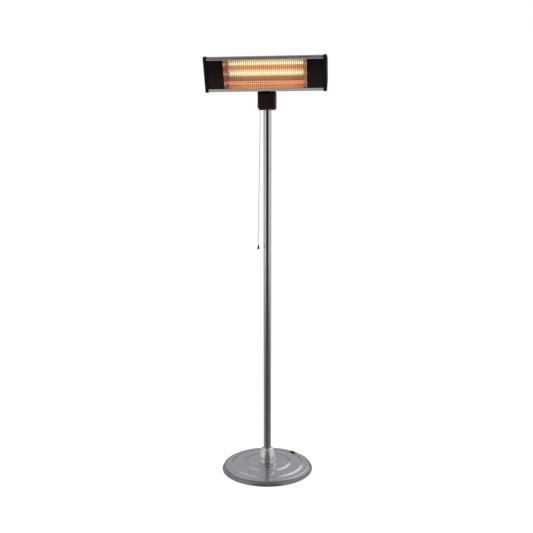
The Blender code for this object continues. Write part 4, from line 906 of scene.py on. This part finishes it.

# Painted glow from the lit tubes, with painted reflections of them: an emitted colour by the height up the
# face, weaker towards both ends.
painted_sheet_glow, source, target = new_group(
    "glow on the sheet", [("Strength", "NodeSocketFloat", 1.0)], [("Glow", "NodeSocketColor")])
spot = on_face(painted_sheet_glow)
share = spread(painted_sheet_glow, spot["Z"], 0.0, 1.0,
               FACE_ABOVE_AXIS - OPENING_HALF, FACE_ABOVE_AXIS + OPENING_HALF)
ramp = add(painted_sheet_glow, "ShaderNodeValToRGB", {"Fac": share})
PAINTED_GLOW = [(0.00, (0.66, 0.33, 0.16)), (0.06, (0.72, 0.25, 0.10)), (0.115, (0.86, 0.33, 0.15)),
        (0.145, (0.55, 0.21, 0.10)), (0.175, (0.78, 0.38, 0.22)), (0.21, (0.38, 0.16, 0.08)),
        (0.28, (0.26, 0.09, 0.045)), (0.34, (0.31, 0.11, 0.06)), (0.385, (0.36, 0.14, 0.08)),
        (0.42, (0.92, 0.78, 0.48)), (0.56, (0.92, 0.80, 0.52)), (0.61, (0.80, 0.46, 0.24)),
        (0.66, (0.64, 0.28, 0.11)), (0.72, (0.60, 0.23, 0.095)), (0.765, (0.80, 0.45, 0.21)),
        (0.88, (0.90, 0.66, 0.36)), (1.00, (0.48, 0.26, 0.14))]
for end, (position, colour) in zip(ramp.color_ramp.elements, (PAINTED_GLOW[0], PAINTED_GLOW[-1])):
    end.position, end.color = position, (*colour, 1.0)
for position, colour in PAINTED_GLOW[1:-1]:
    ramp.color_ramp.elements.new(position).color = (*colour, 1.0)
towards_end = spread(painted_sheet_glow, maths(painted_sheet_glow, "ABSOLUTE", spot["X"]), 1.0, 0.66, 0.09, 0.19, True)
amount = maths(painted_sheet_glow, "MULTIPLY", towards_end, source.outputs["Strength"])
scaled = add(painted_sheet_glow, "ShaderNodeVectorMath", {0: ramp.outputs["Color"], "Scale": amount},
             operation="SCALE")
painted_sheet_glow.links.new(scaled.outputs[0], target.inputs["Glow"])

mirror_sheet, tree, shader = surface("mirror_sheet", (0.16, 0.10, 0.06), 0.30, 1.0)
# Painted glow and painted reflections of the lit tubes, emitted by the sheet.
glow = placed(tree, painted_sheet_glow, Strength=0.92)
brushed = placed(tree, brush_lines, Lines_per_metre=1500.0)
tree.links.new(glow.outputs["Glow"], shader.inputs["Emission Color"])
shader.inputs["Emission Strength"].default_value = 1.0
roughened(tree, shader, brushed.outputs["Band"], 0.24, 0.36)
bumped(tree, shader, brushed.outputs["Band"], 0.15, 0.0004)

wall_sheet, tree, shader = surface("wall_sheet", (0.16, 0.07, 0.05), 0.30, 1.0)
marks = placed(tree, handling, Scale=60.0, Dust_scale=300.0)
roughened(tree, shader, marks.outputs["Smudge"], 0.26, 0.42)
# Painted glints of the tubes on each end wall, at the rows of the tubes next to the panels, over a painted
# glow that is darker on the left wall than on the right; all are emitted.
spot = on_face(tree)
from_top = maths(tree, "SUBTRACT", FACE_ABOVE_AXIS + OPENING_HALF, spot["Z"])
in_row = maths(tree, "FRACT", maths(tree, "DIVIDE", from_top, TROUGH_PITCH))
beside = maths(tree, "ABSOLUTE", maths(tree, "SUBTRACT", in_row, 0.5))
near_tube = spread(tree, beside, 0.0, 1.0, 0.26, 0.06, True)
at_edge = spread(tree, maths(tree, "ABSOLUTE", spot["X"]), 0.0, 1.0, 0.1835, 0.1875, True)
painted_glint_share = maths(tree, "MULTIPLY", near_tube, at_edge)
side = spread(tree, spot["X"], 0.0, 1.0, -0.01, 0.01)
painted_wall_glow = blended(tree, side, (0.24, 0.075, 0.048), (0.34, 0.155, 0.105))
toned(tree, shader, painted_glint_share, painted_wall_glow, (0.62, 0.32, 0.24), "Emission Color")
shader.inputs["Emission Strength"].default_value = 0.9

reflector_low, reflector_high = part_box("reflector")
flange = TROUGH_FRONT - 0.0010
edge = FACE_HALF - CASE_WALL - 0.0020
sheet_line = [(edge, flange), (OPENING_HALF + 0.0010, flange)]
for number, middle in enumerate(TUBE_ROWS):
    for i in range(TROUGH_SAMPLES + 1):
        across = 1 - 2 * i / TROUGH_SAMPLES
        if i < TROUGH_SAMPLES or number == TROUGH_COUNT - 1:
            sheet_line.append((middle + across * TROUGH_PITCH / 2,
                               TROUGH_FRONT + (TROUGH_BACK - TROUGH_FRONT) * (1 - across ** 2)))
sheet_line += [(-OPENING_HALF - 0.0010, flange), (-edge, flange)]
stations = [reflector_low[0] + (reflector_high[0] - reflector_low[0]) * i / 24 for i in range(25)]
points = [(x, *face(up, back)) for x in stations for up, back in sheet_line]
count = len(sheet_line)
faces = [(row * count + i, row * count + i + 1, (row + 1) * count + i + 1, (row + 1) * count + i)
         for row in range(len(stations) - 1) for i in range(count - 1)]
trough = bpy.data.meshes.new("troughs")
trough.from_pydata(points, [], faces)
trough = with_steps(trough, ("SOLIDIFY", {"thickness": REFLECTOR_SHEET, "offset": 0.0}))
fitted("trough_sheet", on_head(trough), mirror_sheet, "head", ["reflector"], 50)
dressed(wall_sheet, "end_wall_left", "end_wall_right")

# ---- Quartz tubes, coils and holders ------------------------------------------------------------------
# Each heater is a coil of resistance wire in a clear quartz tube, held at both ends in a steatite cup.
# The two upper ones are on and the lowest is off.
TUBE_RADIUS, TUBE_WALL = 0.0052, 0.0010
TUBE_HALF_LENGTH = 0.1980
COIL_RADIUS, COIL_WIRE, COIL_PITCH = 0.00185, 0.00045, 0.0016
CERAMIC_LENGTH, CERAMIC_GRIP = 0.0340, 0.0220
LIT_ROWS = (0, 1)
COLD_ENDS = (-0.1640, 0.1760)           # the coil glows between these, and its ends stay darker
COIL_SHORTER = 0.0120

lit_quartz, tree, shader = surface("lit_quartz", (0.20, 0.13, 0.09), 0.15)
place = add(tree, "ShaderNodeTexCoord").outputs["Object"]
along_x = add(tree, "ShaderNodeSeparateXYZ", {0: place}).outputs["X"]
bands = add(tree, "ShaderNodeTexNoise", {"W": along_x, "Scale": 18.0, "Detail": 1.0}, noise_dimensions="1D")
hue = blended(tree, bands.outputs["Fac"], (1.0, 0.86, 0.48), (1.0, 0.97, 0.72))
left_end = spread(tree, along_x, 0.0, 1.0, COLD_ENDS[0] - 0.006, COLD_ENDS[0] + 0.003, True)
right_end = spread(tree, along_x, 0.0, 1.0, COLD_ENDS[1] + 0.003, COLD_ENDS[1] - 0.006, True)
hot = maths(tree, "MULTIPLY", left_end, right_end)
toned(tree, shader, hot, (0.34, 0.12, 0.07), hue, "Emission Color")
shader.inputs["Emission Strength"].default_value = 0.98

clear_quartz, tree, shader = surface("clear_quartz", (0.98, 0.93, 0.88), 0.05)
shader.inputs["Transmission Weight"].default_value = 1.0
shader.inputs["IOR"].default_value = 1.46
# A painted highlight along the upper side of the cold tube, emitted where its surface faces up: the
# reflection of the lit tube above.
normal = add(tree, "ShaderNodeSeparateXYZ", {0: add(tree, "ShaderNodeNewGeometry").outputs["Normal"]})
painted_highlight = spread(tree, normal.outputs["Z"], 0.0, 1.0, 0.45, 0.85)
toned(tree, shader, painted_highlight, (0.06, 0.02, 0.01), (0.70, 0.34, 0.20), "Emission Color")
shader.inputs["Emission Strength"].default_value = 0.85
clouded = placed(tree, handling, Scale=60.0, Dust_scale=300.0)
roughened(tree, shader, clouded.outputs["Smudge"], 0.03, 0.12)

hot_wire, tree, shader = surface("hot_wire", (0.9, 0.5, 0.2), 0.5, 0.6)
shader.inputs["Emission Strength"].default_value = 4.0
place = add(tree, "ShaderNodeTexCoord").outputs["Object"]
turns = add(tree, "ShaderNodeTexNoise", {"Vector": place, "Scale": 200.0})
toned(tree, shader, turns.outputs["Fac"], (1.0, 0.55, 0.18), (1.0, 0.80, 0.45), "Emission Color")

cold_wire, tree, shader = surface("cold_wire", (0.50, 0.30, 0.20), 0.45, 0.4)
marks = placed(tree, handling, Scale=300.0, Dust_scale=900.0)
toned(tree, shader, marks.outputs["Smudge"], (0.44, 0.24, 0.15), (0.58, 0.36, 0.25))

steatite, tree, shader = surface("steatite", (0.60, 0.44, 0.34), 0.6)
marks = placed(tree, handling, Scale=120.0, Dust_scale=600.0)
toned(tree, shader, marks.outputs["Smudge"], (0.50, 0.33, 0.24), (0.66, 0.50, 0.40))
bumped(tree, shader, marks.outputs["Speck"], 0.3, 0.0003)

# A coil of wire along X: a spiral line with a round section.
winding, source, target = new_tree("wound coil", [
    ("Length", "NodeSocketFloat"), ("Radius", "NodeSocketFloat"), ("Wire", "NodeSocketFloat"),
    ("Turns", "NodeSocketFloat"), ("Points per turn", "NodeSocketInt"), ("Finish", "NodeSocketMaterial")])
spiral = add(winding, "GeometryNodeCurveSpiral",
             {"Resolution": source.outputs["Points per turn"], "Rotations": source.outputs["Turns"],
              "Start Radius": source.outputs["Radius"], "End Radius": source.outputs["Radius"],
              "Height": source.outputs["Length"]})
section = add(winding, "GeometryNodeCurvePrimitiveCircle",
              {"Resolution": 5, "Radius": source.outputs["Wire"]})
swept = add(winding, "GeometryNodeCurveToMesh",
            {"Curve": spiral.outputs[0], "Profile Curve": section.outputs[0], "Fill Caps": True})
close_tree(winding, source, target, swept.outputs[0])

coil_length = 2 * TUBE_HALF_LENGTH - COIL_SHORTER
for row, up in enumerate(TUBE_ROWS):
    lit = row in LIT_ROWS
    y, z = face(up, TUBE_DEPTH)
    along = Matrix.Translation((0, y, z)) @ Matrix.Rotation(pi / 2, 4, "Y")
    half, bore = TUBE_HALF_LENGTH, TUBE_RADIUS - TUBE_WALL
    tube = lathe([(bore, half), (TUBE_RADIUS - 0.0003, half), (TUBE_RADIUS, half - 0.0003),
                  (TUBE_RADIUS, 0.0003 - half), (TUBE_RADIUS - 0.0003, -half), (bore, -half)], 40)
    tube.transform(along)
    fitted(f"tube_{row + 1}", on_head(tube), lit_quartz if lit else clear_quartz, "head",
           [f"quartz_tube_{row + 1}"])
    coil = grown(winding, bpy.data.meshes.new("empty"), Length=coil_length, Radius=COIL_RADIUS,
                 Wire=COIL_WIRE, Turns=coil_length / COIL_PITCH, Points_per_turn=12,
                 Finish=hot_wire if lit else cold_wire)
    coil.transform(along @ Matrix.Translation((0, 0, -coil_length / 2)))
    fitted(f"coil_{row + 1}", on_head(coil), None, "head", [f"filament_{row + 1}"], 80)

ceramic_radius = TUBE_RADIUS + 0.0020
cup_line = [(0.0, CERAMIC_LENGTH), (0.0046, CERAMIC_LENGTH), (0.0052, CERAMIC_LENGTH - 0.0006),
            (0.0052, CERAMIC_LENGTH - 0.0050), (ceramic_radius - 0.0004, CERAMIC_LENGTH - 0.0056),
            (ceramic_radius, CERAMIC_LENGTH - 0.0060), (ceramic_radius, 0.0006),
            (ceramic_radius - 0.0006, 0.0),
            (TUBE_RADIUS + 0.0003, 0.0), (TUBE_RADIUS + 0.0003, CERAMIC_GRIP + 0.0003),
            (0.0, CERAMIC_GRIP + 0.0003)]
cup_places = [(Vector((side * (TUBE_HALF_LENGTH - CERAMIC_GRIP), *face(up, TUBE_DEPTH))), (side, 0, 0))
              for up in TUBE_ROWS for side in (-1, 1)]
cups = on_head(copied(lathe(cup_line, 36, closed=False), cup_places, steatite))
cup_nodes = [f"ceramic_{row}_{side}" for row in (1, 2, 3) for side in ("left", "right")]
fitted("ceramic_cups", cups, None, "head", cup_nodes)

# ---- Wire guard ---------------------------------------------------------------------------------------
# Upright bright wires, welded to two rails behind the lips, keep fingers off the tubes. They discolour a
# little in the heat.
GUARD_WIRE = 0.00085
GUARD_PITCH = 0.0091
GUARD_DEPTH = 0.0062
GUARD_REACH = 0.0708
GUARD_RAIL = 0.0690
guard_half = WINDOW_HALF - 0.0010
guard_count = int(2 * guard_half / GUARD_PITCH) + 1

guard_steel, tree, shader = surface("guard_steel", (0.40, 0.28, 0.22), 0.30, 1.0)
# A faint painted glow of the lit tubes on the wires, emitted.
glow = placed(tree, painted_sheet_glow, Strength=0.10)
tree.links.new(glow.outputs["Glow"], shader.inputs["Emission Color"])
shader.inputs["Emission Strength"].default_value = 1.0
marks = placed(tree, handling, Scale=80.0, Dust_scale=400.0)
toned(tree, shader, marks.outputs["Smudge"], (0.16, 0.09, 0.06), (0.09, 0.045, 0.03))

# A row of straight upright wires, evenly spaced along X about the middle.
fence, source, target = new_tree("row of wires", [
    ("Count", "NodeSocketInt"), ("Pitch", "NodeSocketFloat"), ("Reach", "NodeSocketFloat"),
    ("Wire", "NodeSocketFloat"), ("First", "NodeSocketVector"), ("Finish", "NodeSocketMaterial")])
step_along = add(fence, "ShaderNodeCombineXYZ", {"X": source.outputs["Pitch"]})
row = add(fence, "GeometryNodeMeshLine",
          {"Count": source.outputs["Count"], "Start Location": source.outputs["First"],
           "Offset": step_along.outputs[0]})
top_end = add(fence, "ShaderNodeCombineXYZ", {"Z": source.outputs["Reach"]})
below = maths(fence, "MULTIPLY", source.outputs["Reach"], -1.0)
low_end = add(fence, "ShaderNodeCombineXYZ", {"Z": below})
upright = add(fence, "GeometryNodeCurvePrimitiveLine",
              {"Start": low_end.outputs[0], "End": top_end.outputs[0]})
section = add(fence, "GeometryNodeCurvePrimitiveCircle",
              {"Resolution": 10, "Radius": source.outputs["Wire"]})
swept = add(fence, "GeometryNodeCurveToMesh",
            {"Curve": upright.outputs[0], "Profile Curve": section.outputs[0], "Fill Caps": True})
stamped = add(fence, "GeometryNodeInstanceOnPoints",
              {"Points": row.outputs[0], "Instance": swept.outputs[0]})
close_tree(fence, source, target, stamped.outputs[0])

middle_y, middle_z = face(0.0, GUARD_DEPTH)
uprights = grown(fence, bpy.data.meshes.new("empty"), Count=guard_count, Pitch=GUARD_PITCH,
                 Reach=GUARD_REACH, Wire=GUARD_WIRE,
                 First=(-(guard_count - 1) * GUARD_PITCH / 2, middle_y, middle_z),
                 Finish=guard_steel)
guard = bmesh.new()
guard.from_mesh(uprights)
for up in (-GUARD_RAIL, GUARD_RAIL):
    y, z = face(up, GUARD_DEPTH + 1.6 * GUARD_WIRE)
    guard.from_mesh(bar(GUARD_WIRE, (-guard_half, y, z), (guard_half, y, z), 12))
guard_mesh = as_mesh(guard)
fitted("guard", on_head(guard_mesh), guard_steel, "head", ["wire_guard"])

# ---- Studio -------------------------------------------------------------------------------------------
# A pale floor under soft light, with the camera in front and a little to the right, at eye level. The
# surroundings are only there to be mirrored in the chrome.
CAMERA_TURN = radians(8.0)
CAMERA_REACH = 3.5
CAMERA_HEIGHT = 1.52
CAMERA_PITCH = radians(8.11)
CAMERA_PAN = radians(0.07)
CAMERA_LENS = 49.4
FLOOR_RADIUS = 30.0

floor_white, tree, shader = surface("floor_white", (0.16, 0.16, 0.16), 0.9)
place = add(tree, "ShaderNodeTexCoord").outputs["Object"]
cloud = add(tree, "ShaderNodeTexNoise", {"Vector": place, "Scale": 3.0})
toned(tree, shader, cloud.outputs["Fac"], (0.155, 0.155, 0.155), (0.165, 0.165, 0.165))
shader.inputs["Emission Color"].default_value = (1.0, 1.0, 1.0, 1.0)
shader.inputs["Emission Strength"].default_value = 0.90
floor_shape = bmesh.new()
bmesh.ops.create_circle(floor_shape, cap_ends=True, segments=64, radius=FLOOR_RADIUS)
floor = bpy.data.objects.new("floor", as_mesh(floor_shape))
floor.data.materials.append(floor_white)
floor.visible_glossy = False
bpy.context.scene.collection.objects.link(floor)

world = bpy.data.worlds.new("studio")
bpy.context.scene.world = world
world.use_nodes = True
sky = world.node_tree
sky.nodes.clear()

CEILING = (0.075, 0.095, 0.13, 1.0)


def tone_ramp(fac, stops):
    """Grey tones by a 0 to 1 share, up to the bluish ceiling."""
    made = add(sky, "ShaderNodeValToRGB", {"Fac": fac})
    ends = made.color_ramp.elements
    ends[0].position, ends[0].color = stops[0][0], (stops[0][1],) * 3 + (1.0,)
    ends[1].position, ends[1].color = 1.0, CEILING
    for position, tone in stops[1:]:
        ends.new(position).color = (tone, tone, tone, 1.0)
    return made.outputs["Color"]


# What the chrome sees, by direction: a bright band in front at eye level with a dark gap behind the
# camera, a dimmer room with a dark doorway behind the heater, a dark ceiling, and two soft boxes high up
# at the rear.
way = add(sky, "ShaderNodeTexCoord").outputs["Generated"]
aligned = add(sky, "ShaderNodeMapping", {"Vector": way, "Rotation": (0.0, 0.0, -CAMERA_TURN)}).outputs[0]
parts_of = add(sky, "ShaderNodeSeparateXYZ", {0: aligned})
FRONT = [(0.00, 0.55), (0.22, 0.60), (0.26, 0.40), (0.31, 0.12), (0.345, 0.07), (0.39, 0.22), (0.44, 0.62),
         (0.52, 0.72), (0.60, 0.64), (0.75, 0.56), (0.90, 0.46), (0.94, 0.34), (0.97, 0.14)]
REAR = [(0.00, 0.50), (0.30, 0.42), (0.40, 0.50), (0.55, 0.55), (0.70, 0.46), (0.82, 0.42), (0.92, 0.36),
        (0.97, 0.14)]
DARK_GAP = [(0.00, 0.08), (0.34, 0.08), (0.42, 0.03), (0.50, 0.012), (0.80, 0.03)]
DOORWAY_TONE = (0.24, 0.24, 0.25)
SKY_BOXES = (((0.52, 0.58, 0.62), 0.87, 0.96, 0.75), ((-0.30, 0.55, 0.78), 0.965, 0.99, 0.30))
height = parts_of.outputs["Z"]
level_share = spread(sky, height, 0.0, 1.0, -1.0, 1.0)
in_front, behind, gap_floor = (tone_ramp(level_share, stops) for stops in (FRONT, REAR, DARK_GAP))
unit_way = vector_maths(sky, "NORMALIZE", vector_maths(sky, "MULTIPLY", aligned, (1.0, 1.0, 0.0)))
ahead = vector_maths(sky, "DOT_PRODUCT", unit_way, (0.0, -1.0, 0.0), out="Value")
gap = maths(sky, "MAXIMUM", spread(sky, ahead, 1.0, 0.0, 0.64, 0.975, True),
            spread(sky, height, 0.0, 1.0, -0.40, -0.48, True))
rearward = spread(sky, ahead, 0.0, 1.0, 0.2, -0.5, True)
doorway = maths(sky, "MULTIPLY", spread(sky, ahead, 0.0, 1.0, -0.80, -0.97, True),
                spread(sky, height, 0.0, 1.0, 0.30, 0.20, True))
behind = blended(sky, doorway, behind, DOORWAY_TONE)
room = add(sky, "ShaderNodeVectorMath", {0: blended(sky, rearward, in_front, behind), "Scale": gap},
           operation="SCALE").outputs[0]
room = vector_maths(sky, "ADD", room, gap_floor)
for toward, near, core, tone in SKY_BOXES:
    in_box = vector_maths(sky, "DOT_PRODUCT", aligned, toward, out="Value")
    room = vector_maths(sky, "ADD", room, spread(sky, in_box, 0.0, tone, near, core, True))
seen = add(sky, "ShaderNodeLightPath").outputs["Is Camera Ray"]
lit_sky = add(sky, "ShaderNodeBackground", {"Color": room, "Strength": 1.0})
white_sky = add(sky, "ShaderNodeBackground", {"Color": (1.0, 1.0, 1.0, 1.0), "Strength": 1.0})
either = add(sky, "ShaderNodeMixShader", {0: seen, 1: lit_sky.outputs[0], 2: white_sky.outputs[0]})
sky.links.new(either.outputs[0], add(sky, "ShaderNodeOutputWorld").inputs["Surface"])


def soft_box(name, place, target, size, power):
    """An area light at a place, turned to a target."""
    lamp = bpy.data.lights.new(name, "AREA")
    lamp.shape = "RECTANGLE"
    lamp.size, lamp.size_y = size
    lamp.energy = power
    made = bpy.data.objects.new(name, lamp)
    made.location = place
    made.visible_glossy = False
    made.rotation_euler = (Vector(target) - Vector(place)).to_track_quat("-Z", "Y").to_euler()
    bpy.context.scene.collection.objects.link(made)
    return made


soft_box("top_light", (0.4, -0.6, 4.2), (0.0, 0.0, 0.0), (3.0, 3.0), 170.0)
soft_box("right_light", (2.6, -2.6, 2.6), (0.0, 0.0, 0.9), (1.2, 2.4), 70.0)
soft_box("left_light", (-3.2, -1.6, 2.2), (0.0, 0.0, 0.9), (1.4, 2.4), 50.0)

lens = bpy.data.cameras.new("camera")
lens.lens = CAMERA_LENS
lens.clip_end = 100.0
camera = bpy.data.objects.new("camera", lens)
camera.location = (CAMERA_REACH * sin(CAMERA_TURN), -CAMERA_REACH * cos(CAMERA_TURN), CAMERA_HEIGHT)
camera.rotation_euler = (pi / 2 - CAMERA_PITCH, 0.0, CAMERA_TURN + CAMERA_PAN)
bpy.context.scene.collection.objects.link(camera)
bpy.context.scene.camera = camera
bpy.context.scene.view_settings.view_transform = "Standard"
